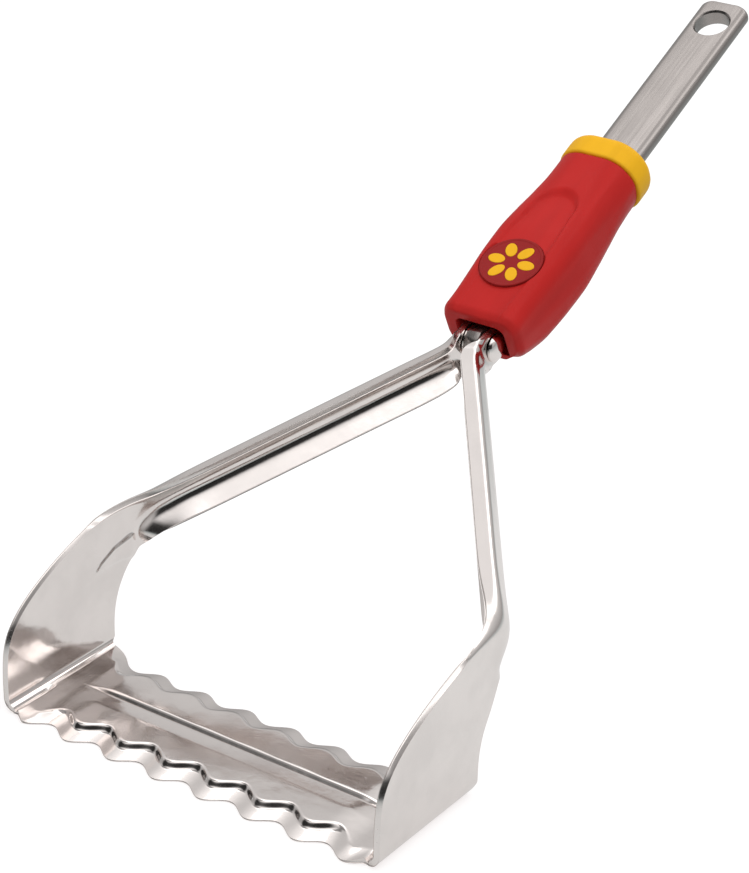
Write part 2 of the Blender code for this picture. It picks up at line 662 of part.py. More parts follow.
    # set the origin: middle of the bounding box, bottom at zero
    bpy.context.view_layer.update()
    dg = bpy.context.evaluated_depsgraph_get()
    lo, hi = Vector((9, 9, 9)), Vector((-9, -9, -9))
    for ob in col.objects:
        if ob.type == "MESH":
            ev = ob.evaluated_get(dg)
            for v in ev.data.vertices:
                p = ev.matrix_world @ v.co
                for k in range(3):
                    lo[k], hi[k] = min(lo[k], p[k]), max(hi[k], p[k])
    root.location = (-(lo.x + hi.x) / 2, -(lo.y + hi.y) / 2, -lo.z)
    bpy.context.view_layer.update()
    print("box mm", [round((hi[k] - lo[k]) / MM, 3) for k in range(3)])
    print("pivot", [round(c, 5) for c in pivot.matrix_world.translation])
    for nm, local in (("tang top face", (0, 120.0, TANG_THICK / 2)), ("tang axis end", (0, TANG_LENGTH, 0))):
        print(nm, [round(c, 5) for c in handle.matrix_world @ (Vector(local) * MM)])


build()
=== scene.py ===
# Looks of the push-pull weeder head: a pressed chrome stirrup on a rivet, a satin steel tang,
# a red moulded sleeve with a yellow collar and a round badge with six petals.

import json
import math

import bmesh
import bpy
import numpy as np
from mathutils import Matrix, Vector

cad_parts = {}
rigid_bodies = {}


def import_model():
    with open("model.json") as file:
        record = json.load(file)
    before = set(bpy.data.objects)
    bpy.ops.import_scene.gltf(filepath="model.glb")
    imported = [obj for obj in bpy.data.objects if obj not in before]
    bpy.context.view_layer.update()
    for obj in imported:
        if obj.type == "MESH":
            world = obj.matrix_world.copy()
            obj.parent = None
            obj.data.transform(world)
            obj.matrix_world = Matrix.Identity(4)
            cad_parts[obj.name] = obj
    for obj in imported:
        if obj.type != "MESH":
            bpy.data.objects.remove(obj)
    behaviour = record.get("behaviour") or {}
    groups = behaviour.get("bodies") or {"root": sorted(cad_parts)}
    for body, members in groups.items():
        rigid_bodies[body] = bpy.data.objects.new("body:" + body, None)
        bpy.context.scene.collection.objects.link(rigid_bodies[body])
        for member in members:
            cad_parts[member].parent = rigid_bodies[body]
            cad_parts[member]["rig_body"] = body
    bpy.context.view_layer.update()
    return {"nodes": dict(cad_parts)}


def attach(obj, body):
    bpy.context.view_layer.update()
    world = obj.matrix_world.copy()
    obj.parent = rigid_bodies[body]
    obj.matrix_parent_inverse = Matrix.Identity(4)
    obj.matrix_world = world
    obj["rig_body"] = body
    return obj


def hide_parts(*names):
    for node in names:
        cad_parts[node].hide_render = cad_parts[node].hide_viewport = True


for old in list(bpy.data.objects):
    bpy.data.objects.remove(old, do_unlink=True)

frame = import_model()

# All sizes are in mm. X is to the right and Z up from the ground. Y is the CAD's own
MM = 0.001
SHIFT_Y = 127.02  # the CAD's own Y minus this is the frame's Y
PIVOT = np.array((0.0, 126.5, 94.5))
TILT = math.radians(26.02)
GAP = 0.3  # clearance between two pieces

# Stirrup
HALF_WIDTH = 75.0
SHEET = 2.2
CORNER_R = 3.5
FOOT = 5.0
PLATE_X = HALF_WIDTH - SHEET / 2
BLADE_END = PLATE_X - CORNER_R - FOOT
RIM_R = 0.38  # rounding of the sheet's cut edges
RIM_ANGLES = (25, 50, 75, 90)
RIM_WEAR = 0.6
RIM_SHARE = 0.45  # the rounding is no more than this share of the thickness

# Blade
FRONT_Y = -34.9
REAR_Y = 10.7
WAVE_PITCH = 18.33
FRONT_WAVE = 2.2
REAR_WAVE = 1.8
FRONT_PHASE_X = -51.24
REAR_PHASE_X = -60.65
WAVE_SPAN = (73.0, 67.5)  # X where the waves are gone and where they are full
EDGE_THICK = 0.5
EDGE_BACK = 0.18  # room for the rounding of the ground edges
BEVEL_WIDTH = 5.4
BEVEL_TOP = 1.5
STEP_WIDTH = 1.7
BLADE_TOP = 3.5
BLADE_LOW = 1.5
CREASE_Y = -9.7
CREASE_DEPTH = 1.0
CREASE_HALF = 0.85
CREASE_SLOPE = 6.6
CREASE_LIP = 0.45  # share of the crease's depth at the foot of its front slope
CREASE_BELOW = 0.25  # share of it that shows on the underside
PRESS_SPAN = (63.0, 50.0)  # X where the pressed middle is gone and where it is full
BEVEL_SPAN = (71.0, 62.0)  # the same for the ground edges
EVEN_SPAN = (64.0, BLADE_END)  # here the columns draw apart until they are evenly spaced
REAR_WIDE = 2.6  # how much wider the rear gets over the next span
REAR_WIDE_SPAN = (60.0, 68.0)
BLADE_ROWS = 70  # rows from the middle to one end

# Side plates: front edge from the blade's front line, rear edge from its rear line and how far in
PLATE_ROWS = (
    ((0.0, 11.0), (7.5, 8.5), 0.0),
    ((0.3, 18.0), (7.8, 13.0), 0.0),
    ((1.7, 25.0), (8.8, 17.5), 0.0),
    ((5.9, 31.0), (10.4, 21.5), 0.0),
    ((11.9, 36.0), (12.6, 25.0), 0.0),
    ((20.5, 41.0), (14.8, 28.2), 0.2),
    ((30.6, 45.5), (17.2, 31.2), 0.7),
    ((41.4, 49.3), (19.9, 33.8), 1.5),
)
FOOT_REAR = 2.0
FOOT_HIGH = 6.0  # what lies lower than this belongs to the foot
FOOT_LAST = 4.5  # foot and bend end halfway between rows 4 and 5
FOOT_MEET = 3.0  # up to this row the foot is drawn to the blade's end
FOOT_LEAD = 0.25  # share of the foot's width that follows the front wave
BEND_ANGLES = (30, 60, 90)
BEND_REAR = 3.7

# Arms and shoulders: the web, a front strip curled in and a wider rear flange
ARM_WEB = 9.4
ARM_FRONT = 5.0
ARM_FRONT_TURN = math.radians(60)
ARM_REAR = 9.9
ARM_REAR_TURN = math.radians(71)
FRONT_BEND_R = 2.2
REAR_BEND_R = 6.4
SHOULDER_BEND_R = 9.0
ARM_MEET = 0.7  # the flanges stop this far from the middle plane
ARM_START = (13.1, 45.1, 59.8)  # X in, Y and Z
ARM_TOP = (5.6, -11.8, 1.8)  # from the pivot
ARM_ACROSS = (-0.14, -0.545, 0.827)
ARM_TURN = 12.0  # the strip has turned into the arm's direction this far in
ARM_SHARES = (0.0, 0.25, 0.5, 0.75, 0.9, 1.0)
# front corner, rear corner and rear free edge, each as X in, Y and Z, and the width of the front strip
SHOULDER_ROWS = (
    ((0.3, 15.5, 51.4), (0.8, 28.3, 38.5), (2.6, 32.3, 34.6), 1.2),
    ((1.2, 25.0, 52.4), (0.6, 31.2, 42.7), (5.4, 34.6, 36.6), 2.6),
    ((3.2, 32.3, 53.3), (2.4, 39.3, 45.2), (9.6, 38.2, 39.4), 3.9),
    ((7.3, 38.9, 55.9), (6.6, 44.4, 48.3), (14.5, 42.3, 42.9), 4.5),
)
# Neck: distance from the pivot, half width, X out from the ear's middle, flanges as shares of the room
NECK_ROWS = (
    (7.4, 5.6, 0.9, 0.8, 0.8),
    (5.8, 6.0, 0.3, 0.3, 0.3),
    (3.6, 6.4, 0.0, 0.0, 0.0),
)
EAR_R = 6.7
EAR_ANGLES = (-10, 6, 20, 34, 50, 62, 71)
# share of the neighbouring lengths that the rounding of a corner may take
FRONT_CORNER_SHARES = (0.9, 0.45)
REAR_CORNER_SHARES = (0.52, 0.8)
CORNER_POINTS = 13
CORNER_LEAST = 0.02  # a corner isn't rounded where a length beside it is shorter

# Grid of the sheet: steps of each span across the blade, front to rear, and rows between two given rows
SECTION_STEPS = (8, 6, 12, 8, 3, 3, 11, 6, 8)
STEP_SPANS = (1, 7)
COLUMNS = sum(SECTION_STEPS) + 1
SHARES = np.linspace(0.0, 1.0, COLUMNS)
ROW_STEPS = 8
SOFTEN_ROWS = 22
SOFTEN_GRID = 4

# Gusset pressed on the inside of a side plate: upper and lower border as Y and Z
GUSSET_HIGH = ((6.9, 30.7), (11.6, 35.4), (17.8, 38.8), (24.0, 40.0), (34.0, 41.0))
GUSSET_LOW = ((6.9, 30.7), (14.5, 31.9), (21.6, 31.9), (29.8, 30.3), (34.0, 30.0))
GUSSET_DEPTH = 0.7
GUSSET_BORDER = (-0.6, 1.5)  # each of these four is where it is gone and where it is full
GUSSET_FRONT = (5.5, 10.0)
GUSSET_REAR = (30.0, 25.0)
GUSSET_SIDE = (68.5, 72.0)

# Slit in the fold at the blade's end, open at the front
SLIT_X = 70.2
SLIT_HALF = 0.5
SLIT_DEPTH = 1.6
SLIT_TOP = (4.0, 3.4)  # gone and full
SLIT_REAR = (-14.0, -22.0)

# Pivot
TONGUE_HALF = 2.5
WASHER_THICK = 0.8
WASHER_R = 5.6
WASHER_EDGE = 0.15
BUSH_WALL = 0.9
BUSH_EDGE = 0.1
RIVET_R = 2.6
RIVET_HOLE_R = RIVET_R + GAP
RIVET_NECK = (0.15, 0.2)  # growth of the shank under a head, and its length
HEAD_R = 4.9
HEAD_HIGH = 2.2
# rivet's head as shares of its radius and height
HEAD_DOME = ((0.0, 1.0), (0.25, 0.985), (0.5, 0.93), (0.7, 0.82), (0.85, 0.65), (0.95, 0.42), (1.0, 0.2),
             (1.0, 0.06), (0.97, 0.0))
EAR_IN = TONGUE_HALF + WASHER_THICK + 2 * GAP
EAR_OUT = EAR_IN + SHEET
EAR_MID = EAR_IN + SHEET / 2
EAR_CUT = 4.0  # a cutter reaches this far to each side of the ear's middle
SHANK_HALF = EAR_OUT + GAP
POLE_R = 0.02  # a turned piece ends in a ring as small as this
FULL_ROUND = 0.98  # a corner's radius is at most this share of the half width and half thickness

# Tang, along its length from the pivot
TANG_WIDTH = 19.6
TANG_THICK = 6.6
TANG_SEAT_THICK = 6.2
TANG_LENGTH = 181.6
TANG_EDGE_R = 3.1
TANG_CORNER_R = 2.4
TANG_CORNER_ANGLES = (0, 12, 25, 38, 50, 62, 74, 85)
TANG_CORNER_POINTS = 12
TANG_BOW = 0.8
# rounding of the end: how far the faces come in, and the share of the bow
TANG_END = ((0.35, 0.2), (0.9, 0.55), (1.6, 0.85), (2.4, 1.0))
TANG_END_NARROW = 0.08  # share of the width lost from one of these to the next
TONGUE_AT = (4.0, 10.0)
TONGUE_END = 10.5
TONGUE_GROW = 5.5  # the tongue widens to the bar over this length
TONGUE_GROW_ROWS = 7
SEAT_FROM = 20.0
SEAT_ROWS = 8
SHOULDER_LONG = 0.4  # slope from the thin seat to the full bar
BAR_FROM = 4.0  # rows of the full bar begin and end this far from its ends
BAR_TO = 1.5
BAR_ROWS = 24
HANG_HOLE_R = 6.5
HANG_HOLE_AT = 12.2
# rounding of the hanging hole: growth of its radius, and height over the face
HANG_FLARE = ((1.4, 1.7), (1.0, 0.25), (0.35, -0.25), (0.0, -0.75))
EYE_R = 6.3
EYE_STEPS = 32
EYE_EDGE = ((0.0, 0.35), (0.12, 0.1), (0.4, 0.0))  # depth from the eye's face, and inset
EYE_STEM_GAP = 1.0  # the eye's stem ends this far before the sleeve's channel
EYE_CUT = 12.0

# Sleeve, along the tang from the pivot
SLEEVE_START = 2.0
SLEEVE_END = 83.3
SLEEVE_AT = (0.0, 10.0, 20.0, 32.0, 42.0, 52.0, 62.0, 72.0, 80.0, 90.0)
SLEEVE_WIDE = (15.1, 15.4, 16.0, 16.8, 17.1, 16.6, 16.0, 15.6, 15.7, 15.9)
SLEEVE_HIGH = (12.5, 12.8, 13.3, 13.9, 13.9, 13.5, 13.0, 12.9, 13.0, 13.1)
SLEEVE_CORNER = (6.0, 6.0, 6.4, 7.0, 7.4, 8.0, 9.2, 10.6, 11.4, 11.8)
SLEEVE_LOW_AT = (0.0, 3.0, 7.0) + SLEEVE_AT[1:]
SLEEVE_LOW = (5.2, 7.0, 9.0, 10.3, 12.8, 13.2, 13.2, 12.8, 12.4, 12.1, 11.9, 11.8)
# rounded rims at the front and the back: inset, and distance from the sleeve's end
SLEEVE_RIM = ((1.25, 0.15), (0.95, 0.5), (0.7, 0.95), (0.42, 1.4), (0.2, 1.9), (0.05, 2.5))
SLEEVE_BACK = ((0.05, 0.45), (0.25, 0.15), (0.6, 0.0))
SKIN_FROM = 3.1  # rows of the skin begin and end this far from the sleeve's ends
SKIN_TO = 0.5
SKIN_STEP = 0.55
CHANNEL_CORNER = 0.8
CHANNEL_AT = (60.0, 40.0, 20.0)
MOUTH_HALF_W = 9.4
MOUTH_HALF_T = 7.2
MOUTH_CORNER = 3.0
MOUTH_STEP = 0.6
MOUTH_AT = (8.0, 6.0, 4.0)
MOUTH_END = 10.5
LIP_GROW = 0.5
LIP_CORNER = 3.4
LIP_ROUND = 0.15
LIP_SHARES = (0.35, 0.7, 1.0)
FACE_BACK = 1.5  # the front face takes its outline from this far behind it
FACE_INSET = 1.6
AROUND = 200
OUTLINE_CORNER_POINTS = 25

# Panel sunk in the sleeve's top: half width and depth along the tang, then its round end
PANEL_HALF = ((3.0, 9.3), (10.0, 9.6), (20.0, 10.6), (32.0, 10.6), (42.0, 10.1), (50.0, 9.2), (58.0, 8.2))
PANEL_DEPTH = ((0.0, 0.35), (24.0, 0.45), (40.0, 0.9), (55.0, 1.3), (66.0, 1.4))
PANEL_ARC_AT = 54.0
PANEL_ARC_HALF = 8.75
PANEL_TIP = 66.4
PANEL_SIDE_POWER = 2.4
PANEL_TIP_POWER = 0.45
PANEL_SIDE_BORDER = 1.3
PANEL_TIP_BORDER = 4.4
PANEL_TIP_FROM = 50.0

# Ridge along the sleeve's flanks: its height along the tang, how round it is and how the flanks lean
RIDGE = ((4.0, 2.5), (18.0, -0.5), (29.0, -2.1), (40.0, -3.1), (62.0, -2.3), (73.0, 0.75), (82.0, 4.1))
RIDGE_ROUND = 1.2
RIDGE_LEAN = 0.085
RIDGE_FULL_AT = 12.0
FLANK_FROM = 0.75  # share of the half width where a flank begins

# Collar: distance from its start, inset and wear
COLLAR_START = 83.6
COLLAR_END = 93.8
COLLAR_LIP = 0.5
COLLAR_PROFILE = (
    (0.0, 0.9, 0.6), (0.05, 0.55, 0.6), (0.25, 0.2, 0.7), (0.6, 0.04, 0.4), (1.1, 0.0, 0), (3.0, 0.0, 0),
    (6.0, 0.0, 0), (7.2, 0.06, 0), (8.0, 0.2, 0.1), (8.7, 0.45, 0.2), (9.3, 0.85, 0.3), (9.8, 1.4, 0.4),
    (10.1, 2.0, 0.4), (10.2, 2.7, 0.3),
)
COLLAR_FLARE = 0.35
COLLAR_FLARE_CORNER = 1.1
COLLAR_EDGE = (0.4, 0.3)  # rows of its bore lie this far from the back and the front
COLLAR_BORE_WEAR = 0.2

# Badge: a disc in a well of the sleeve, and petals in beds of the disc
BADGE_AT = 26.8
BADGE_R = 11.3
BADGE_THICK = 0.8
BADGE_SINK = 1.1
BADGE_FIELD = 0.12  # depth of the disc's field under its rim
# rim from the underside up: distance in from the edge, and down from the top
BADGE_RIM = ((0.1, BADGE_THICK), (0.0, BADGE_THICK - 0.1), (0.0, 0.22), (0.08, 0.08), (0.25, 0.0),
             (0.9, 0.0), (1.1, BADGE_FIELD))
# well: distance out from the disc's edge, and height over the seat
BADGE_WELL = ((0.3, 0.0), (0.3, 0.6), (0.38, 0.75), (0.9, 1.2), (0.9, 4.0))
PETALS = 6
PETAL_AT = 5.9
PETAL_LONG = 6.4
PETAL_WIDE = 4.2
PETAL_POINTS = 48
# growth of the petal's outline, and height over the disc's top
PETAL_EDGE = ((-0.06, -0.35), (0.0, -0.30), (0.0, -0.10), (-0.05, -0.03), (-0.16, 0.0), (-0.6, 0.0),
              (-1.2, 0.0), (-1.9, 0.0))
PETAL_BED = ((0.1, -0.45), (0.1, 1.0))

# Steps round a turned piece
BORE_STEPS = 48
WASHER_STEPS = 64
HOLE_STEPS = 72
BADGE_STEPS = 96

# Colours, linear
CHROME = (0.80, 0.745, 0.72)
SATIN = (0.35, 0.32, 0.305)
RED = (0.56, 0.020, 0.018)
YELLOW = (0.96, 0.50, 0.014)
DARK_RED = (0.33, 0.018, 0.018)

# Floor, in metres. In mirrors it fades away from the object and towards the front: two distances and
# the levels at them
FLOOR_R = 6.0
FLOOR_Z = -0.0002
FLOOR_GLOW = (0.70, 0.645, 0.64)
FLOOR_COAT = (0.42, 0.475, 0.48)
FLOOR_NEAR = (0.12, 0.48, 0.66, 0.20)
FLOOR_AHEAD = (-0.7, -0.25, 0.20, 1.0)

# World, as mirrors see it. Four numbers are a span of direction and the levels at its two ends
CURTAIN_AHEAD = (0.30, 0.52, 0.0, 1.0)
CURTAIN_HIGH = (0.72, 0.50, 0.0, 0.96)
WHITE_WAY = (0.33, 0.68, 0.65)
WHITE_SPAN = (0.966, 0.992, 0.0, 0.60)
GREY_WAY = (-0.53, -0.25, 0.81)
GREY_SPAN = (0.90, 0.96, 0.0, 0.70)
LAMP_WAY = (0.10, 0.28, 0.955)
LAMP_SPAN = (0.90, 0.975, 1.0, 0.12)
LOW_SPAN = (0.0, 0.50, 0.40, 0.68)
HIGH_SPAN = (0.55, 0.88, 0.0, 0.62)
WORLD_LIGHT = 0.68  # level of the light that the world throws on the object

# Lamp, in metres
LAMP_PLACE = (0.30, 0.25, 1.45)
LAMP_AIM = (0.0, 0.0, 0.06)
LAMP_SIZE = 2.0
LAMP_RADIANCE = 0.80

# Camera, fitted to the outline in the photo, in degrees and metres
CAMERA_TURN = 35.28
CAMERA_RISE = 25.69
CAMERA_ROLL = 0.95
CAMERA_AWAY = 0.83355
CAMERA_TARGET = (0.0039, 0.060 - SHIFT_Y * MM, 0.08573)
FOCAL_PIXELS = 2585.91
PHOTO_HIGH = 873
SENSOR = 36.0
CLIP_START = 0.01


# Curves and places

def smooth_curve(xs, ys, x):
    # monotone cubic through (xs, ys)
    xs, ys = np.asarray(xs, float), np.asarray(ys, float)
    h = np.diff(xs)
    d = np.diff(ys) / h
    m = np.zeros(len(xs))
    m[0], m[-1] = d[0], d[-1]
    for i in range(1, len(xs) - 1):
        if d[i - 1] * d[i] > 0:
            w1, w2 = 2 * h[i] + h[i - 1], h[i] + 2 * h[i - 1]
            m[i] = (w1 + w2) / (w1 / d[i - 1] + w2 / d[i])
    x = np.clip(np.atleast_1d(np.asarray(x, float)), xs[0], xs[-1])
    k = np.clip(np.searchsorted(xs, x) - 1, 0, len(xs) - 2)
    t = (x - xs[k]) / h[k]
    return ((1 + 2 * t) * (1 - t) ** 2 * ys[k] + t * (1 - t) ** 2 * h[k] * m[k]
            + t * t * (3 - 2 * t) * ys[k + 1] + t * t * (t - 1) * h[k] * m[k + 1])


def ramp(x, lo, hi):
    # smooth step from 0 at lo to 1 at hi; lo may be larger than hi
    t = np.clip((np.asarray(x, float) - lo) / (hi - lo), 0.0, 1.0)
    return t * t * (3 - 2 * t)


def unit(v):
    v = np.asarray(v, float)
    return v / np.maximum(np.linalg.norm(v, axis=-1, keepdims=True), 1e-12)


def local_to_world(points):
    # handle frame (width, along the tang, normal to its face) to the frame's metres
    p = np.asarray(points, float).reshape(-1, 3)
    c, s = math.cos(TILT), math.sin(TILT)
    y = PIVOT[1] + p[:, 1] * c - p[:, 2] * s
    z = PIVOT[2] + p[:, 1] * s + p[:, 2] * c
    return np.stack([p[:, 0], y - SHIFT_Y, z], 1) * MM


def fit_to_world(points):
    return (np.asarray(points, float) - (0.0, SHIFT_Y, 0.0)) * MM


# Meshes

def new_object(name, data):
    ob = bpy.data.objects.new(name, data)
    bpy.context.scene.collection.objects.link(ob)
    return ob


def mesh_object(name, verts, faces, mats, sharp, wear=None):
    me = bpy.data.meshes.new(name)
    me.from_pydata([tuple(v) for v in verts], [], faces)
    bm = bmesh.new()
    bm.from_mesh(me)
    bmesh.ops.recalc_face_normals(bm, faces=bm.faces)
    bm.to_mesh(me)
    bm.free()
    ob = new_object(name, me)
    for mat in mats:
        me.materials.append(mat)
    me.shade_smooth()
    me.set_sharp_from_angle(angle=math.radians(sharp))
    if wear is not None:
        att = me.attributes.new("wear", "FLOAT", "POINT")
        att.data.foreach_set("value", np.asarray(wear, np.float32))
    return ob


def carve(ob, cutters, sharp, operation="DIFFERENCE"):
    # cut the cutters out of the object, or join them to it, and apply that to its mesh
    for cut in cutters:
        m = ob.modifiers.new("cut", "BOOLEAN")
        m.operation = operation
        m.object = cut
        m.solver = "EXACT"
    dg = bpy.context.evaluated_depsgraph_get()
    dg.update()
    me = bpy.data.meshes.new_from_object(ob.evaluated_get(dg), preserve_all_data_layers=True, depsgraph=dg)
    me.name = ob.name
    me.set_sharp_from_angle(angle=math.radians(sharp))
    ob.modifiers.clear()
    ob.data = me
    for cut in cutters:
        bpy.data.objects.remove(cut, do_unlink=True)


def ring_faces(rows, cols, closed=False):
    # quads between closed rings of cols points; closed joins the last ring to the first
    faces = []
    for i in range(rows if closed else rows - 1):
        a, b = i * cols, ((i + 1) % rows) * cols
        for j in range(cols):
            k = (j + 1) % cols
            faces.append((a + j, a + k, b + k, b + j))
    return faces


def capped_rings(rows, cols):
    return ring_faces(rows, cols) + [tuple(range(cols)), tuple(range((rows - 1) * cols, rows * cols))]


def lathe(name, profile, steps, axis, mats, sharp=30, at=0.0, closed=False):
    # profile of (radius, along) pairs turned about an axis of the handle frame, at a place along the tang
    pts = []
    for r, a in profile:
        for k in range(steps):
            t = 2 * math.pi * k / steps
            u, v = r * math.cos(t), r * math.sin(t)
            pts.append((a, u + at, v) if axis == "X" else (u, v + at, a))
    faces = ring_faces(len(profile), steps, True) if closed else capped_rings(len(profile), steps)
    return mesh_object(name, local_to_world(pts), faces, mats, sharp)


def loft(name, sections, mats, sharp=30):
    pts = np.concatenate([np.array(s) for s in sections])
    faces = capped_rings(len(sections), len(sections[0]))
    return mesh_object(name, local_to_world(pts), faces, mats, sharp)


def ring_profile(inner, outer, low, high, edge):
    # section of a ring with broken edges, as (radius, along)
    return [(outer - edge, low), (outer, low + edge), (outer, high - edge), (outer - edge, high),
            (inner + edge, high), (inner, high - edge), (inner, low + edge), (inner + edge, low)]


def mirrored(half):
    # a profile of (radius, along) pairs and its mirror image
    return half + [(r, -a) for r, a in reversed(half)]


# Node trees

class Nodes:
    def __init__(self, tree):
        self.tree = tree

    def add(self, kind, inputs=None, **props):
        node = self.tree.nodes.new("ShaderNode" + kind)
        for key, value in props.items():
            setattr(node, key, value)
        for key, value in (inputs or {}).items():
            self.feed(node.inputs[key], value)
        return node

    def feed(self, socket, value):
        if isinstance(value, bpy.types.NodeSocket):
            self.tree.links.new(value, socket)
        else:
            socket.default_value = value

    def math(self, op, *values):
        return self.add("Math", dict(enumerate(values)), operation=op).outputs[0]

    def times(self, a, b):
        return self.math("MULTIPLY", a, b)

    def plus(self, base, *shares):
        # base and a share of each value
        for value, share in shares:
            base = self.math("MULTIPLY_ADD", value, share, base)
        return base

    def either(self, switch, on, off):
        # on where switch is 1, off where it is 0
        rest = self.times(self.math("SUBTRACT", 1.0, switch), off)
        return self.math("MULTIPLY_ADD", switch, on, rest)

    def span(self, value, start, stop, low=0.0, high=1.0):
        # low where value is start, high where it is stop, smooth between
        inputs = dict(enumerate((value, start, stop, low, high)))
        return self.add("MapRange", inputs, interpolation_type="SMOOTHSTEP").outputs[0]

    def noise(self, vector, scale, detail, rough):
        inputs = {"Vector": vector, "Scale": scale, "Detail": detail, "Roughness": rough}
        return self.add("TexNoise", inputs).outputs["Fac"]

    def streaks(self, vector, turn, stretch, detail, rough):
        # turned first, then stretched, so that the streaks run along the turned direction
        spin = self.add("Mapping", {"Vector": vector, "Rotation": turn})
        long = self.add("Mapping", {"Vector": spin.outputs[0], "Scale": stretch})
        return self.noise(long.outputs[0], 1.0, detail, rough)

    def mix(self, factor, a, b):
        # sockets 6 and 7 are its two colours
        return self.add("Mix", {"Factor": factor, 6: a, 7: b}, data_type="RGBA").outputs[2]


def rgba(colour, share=1.0, lift=0.0):
    return (*(min(1.0, c * share + lift) for c in colour), 1.0)


# Materials

ALONG_TANG = (-TILT, 0.0, 0.0)


def start_material(name):
    mat = bpy.data.materials.new(name)
    mat.use_nodes = True
    n = Nodes(mat.node_tree)
    bsdf = mat.node_tree.nodes["Principled BSDF"]
    at = n.add("TexCoord").outputs["Object"]
    wear = n.add("Attribute", attribute_name="wear").outputs["Fac"]
    return mat, n, bsdf, at, wear


def coat(n, bsdf, tint, rough, height, strength, distance):
    bump = n.add("Bump", {"Strength": strength, "Distance": distance, "Height": height})
    for name, value in (("Base Color", tint), ("Roughness", rough), ("Normal", bump.outputs[0])):
        n.feed(bsdf.inputs[name], value)


def chrome_material():
    mat, n, bsdf, at, wear = start_material("bright_steel_plated")
    n.feed(bsdf.inputs["Metallic"], 1.0)
    cloud = n.noise(at, scale=55.0, detail=3.0, rough=0.55)
    fine = n.noise(at, scale=900.0, detail=2.0, rough=0.6)
    one_way = n.streaks(at, (0.0, 0.5, 0.35), (30.0, 1900.0, 1900.0), detail=2.0, rough=0.6)
    other_way = n.streaks(at, (0.4, -0.6, 1.2), (40.0, 1700.0, 1700.0), detail=2.0, rough=0.6)
    scratches = n.math("MAXIMUM", n.span(one_way, 0.66, 0.74), n.span(other_way, 0.68, 0.76))
    tint = n.mix(n.span(cloud, 0.35, 0.7), rgba(CHROME), rgba(CHROME, 0.93))
    tint = n.mix(n.times(scratches, 0.25), tint, rgba(CHROME, 0.80))
    tint = n.mix(n.times(wear, 0.35), tint, rgba(CHROME, 0.9))
    rough = n.span(cloud, 0.3, 0.75, low=0.07, high=0.15)
    rough = n.plus(rough, (scratches, 0.10), (wear, 0.12), (fine, 0.03))
    height = n.plus(cloud, (fine, 0.05), (scratches, -0.03))
    coat(n, bsdf, tint, rough, height, strength=0.25, distance=0.0006)
    return mat


def satin_material():
    mat, n, bsdf, at, wear = start_material("satin_steel_brushed")
    n.feed(bsdf.inputs["Metallic"], 1.0)
    grain = n.streaks(at, ALONG_TANG, (2600.0, 45.0, 2600.0), detail=4.0, rough=0.65)
    long_grain = n.streaks(at, ALONG_TANG, (700.0, 9.0, 700.0), detail=2.0, rough=0.5)
    cloud = n.noise(at, scale=60.0, detail=3.0, rough=0.5)
    nick = n.streaks(at, (-TILT, 0.1, 0.7), (60.0, 1500.0, 1500.0), detail=1.0, rough=0.5)
    nick = n.span(nick, 0.70, 0.76)
    tint = n.mix(n.span(grain, 0.3, 0.7), rgba(SATIN, 1.05), rgba(SATIN, 0.93))
    tint = n.mix(n.times(n.span(cloud, 0.4, 0.75), 0.5), tint, rgba(SATIN, 0.90))
    tint = n.mix(n.times(n.math("MAXIMUM", wear, nick), 0.4), tint, rgba(SATIN, 1.15))
    rough = n.span(long_grain, 0.3, 0.7, low=0.16, high=0.26)
    rough = n.plus(rough, (grain, 0.16), (wear, -0.08))
    height = n.plus(grain, (long_grain, 0.8), (nick, -0.5))
    coat(n, bsdf, tint, rough, height, strength=0.22, distance=0.0001)
    return mat


def plastic_material(name, colour, smoothest, roughest, grain):
    mat, n, bsdf, at, wear = start_material(name)
    n.feed(bsdf.inputs["Specular IOR Level"], 0.10)
    skin = n.noise(at, scale=grain, detail=2.0, rough=0.5)
    cloud = n.noise(at, scale=45.0, detail=3.0, rough=0.55)
    flow = n.streaks(at, ALONG_TANG, (160.0, 22.0, 160.0), detail=3.0, rough=0.5)
    scuff = n.streaks(at, (0.2, 0.4, 0.9), (60.0, 900.0, 900.0), detail=2.0, rough=0.55)
    scuff = n.times(n.span(scuff, 0.68, 0.76), n.span(cloud, 0.45, 0.65))
    pale = rgba(colour, 0.9, 0.04)
    tint = n.mix(n.span(flow, 0.3, 0.7), rgba(colour, 0.95), rgba(colour, 1.05))
    tint = n.mix(n.times(scuff, 0.22), tint, pale)
    tint = n.mix(n.times(wear, 0.16), tint, pale)
    rough = n.span(cloud, 0.3, 0.7, low=smoothest, high=roughest)
    rough = n.plus(rough, (skin, 0.06), (wear, -0.10))
    height = n.plus(skin, (flow, 0.6), (scuff, -0.4))
    coat(n, bsdf, tint, rough, height, strength=0.16, distance=0.00025)
    return mat


chrome = chrome_material()
satin = satin_material()
red = plastic_material("red_moulded", RED, 0.30, 0.40, 1800.0)
yellow = plastic_material("yellow_moulded", YELLOW, 0.34, 0.44, 1800.0)
dark_red = plastic_material("dark_red_moulded", DARK_RED, 0.36, 0.46, 2200.0)


# Stirrup: one pressed sheet from ear to ear. A row of it runs from the front edge to the rear edge:
# front free edge, front corner, rear corner, rear free edge, and the radius of the two corners

def plain_row(front, rear):
    return front, front, rear, rear, SHOULDER_BEND_R, REAR_BEND_R


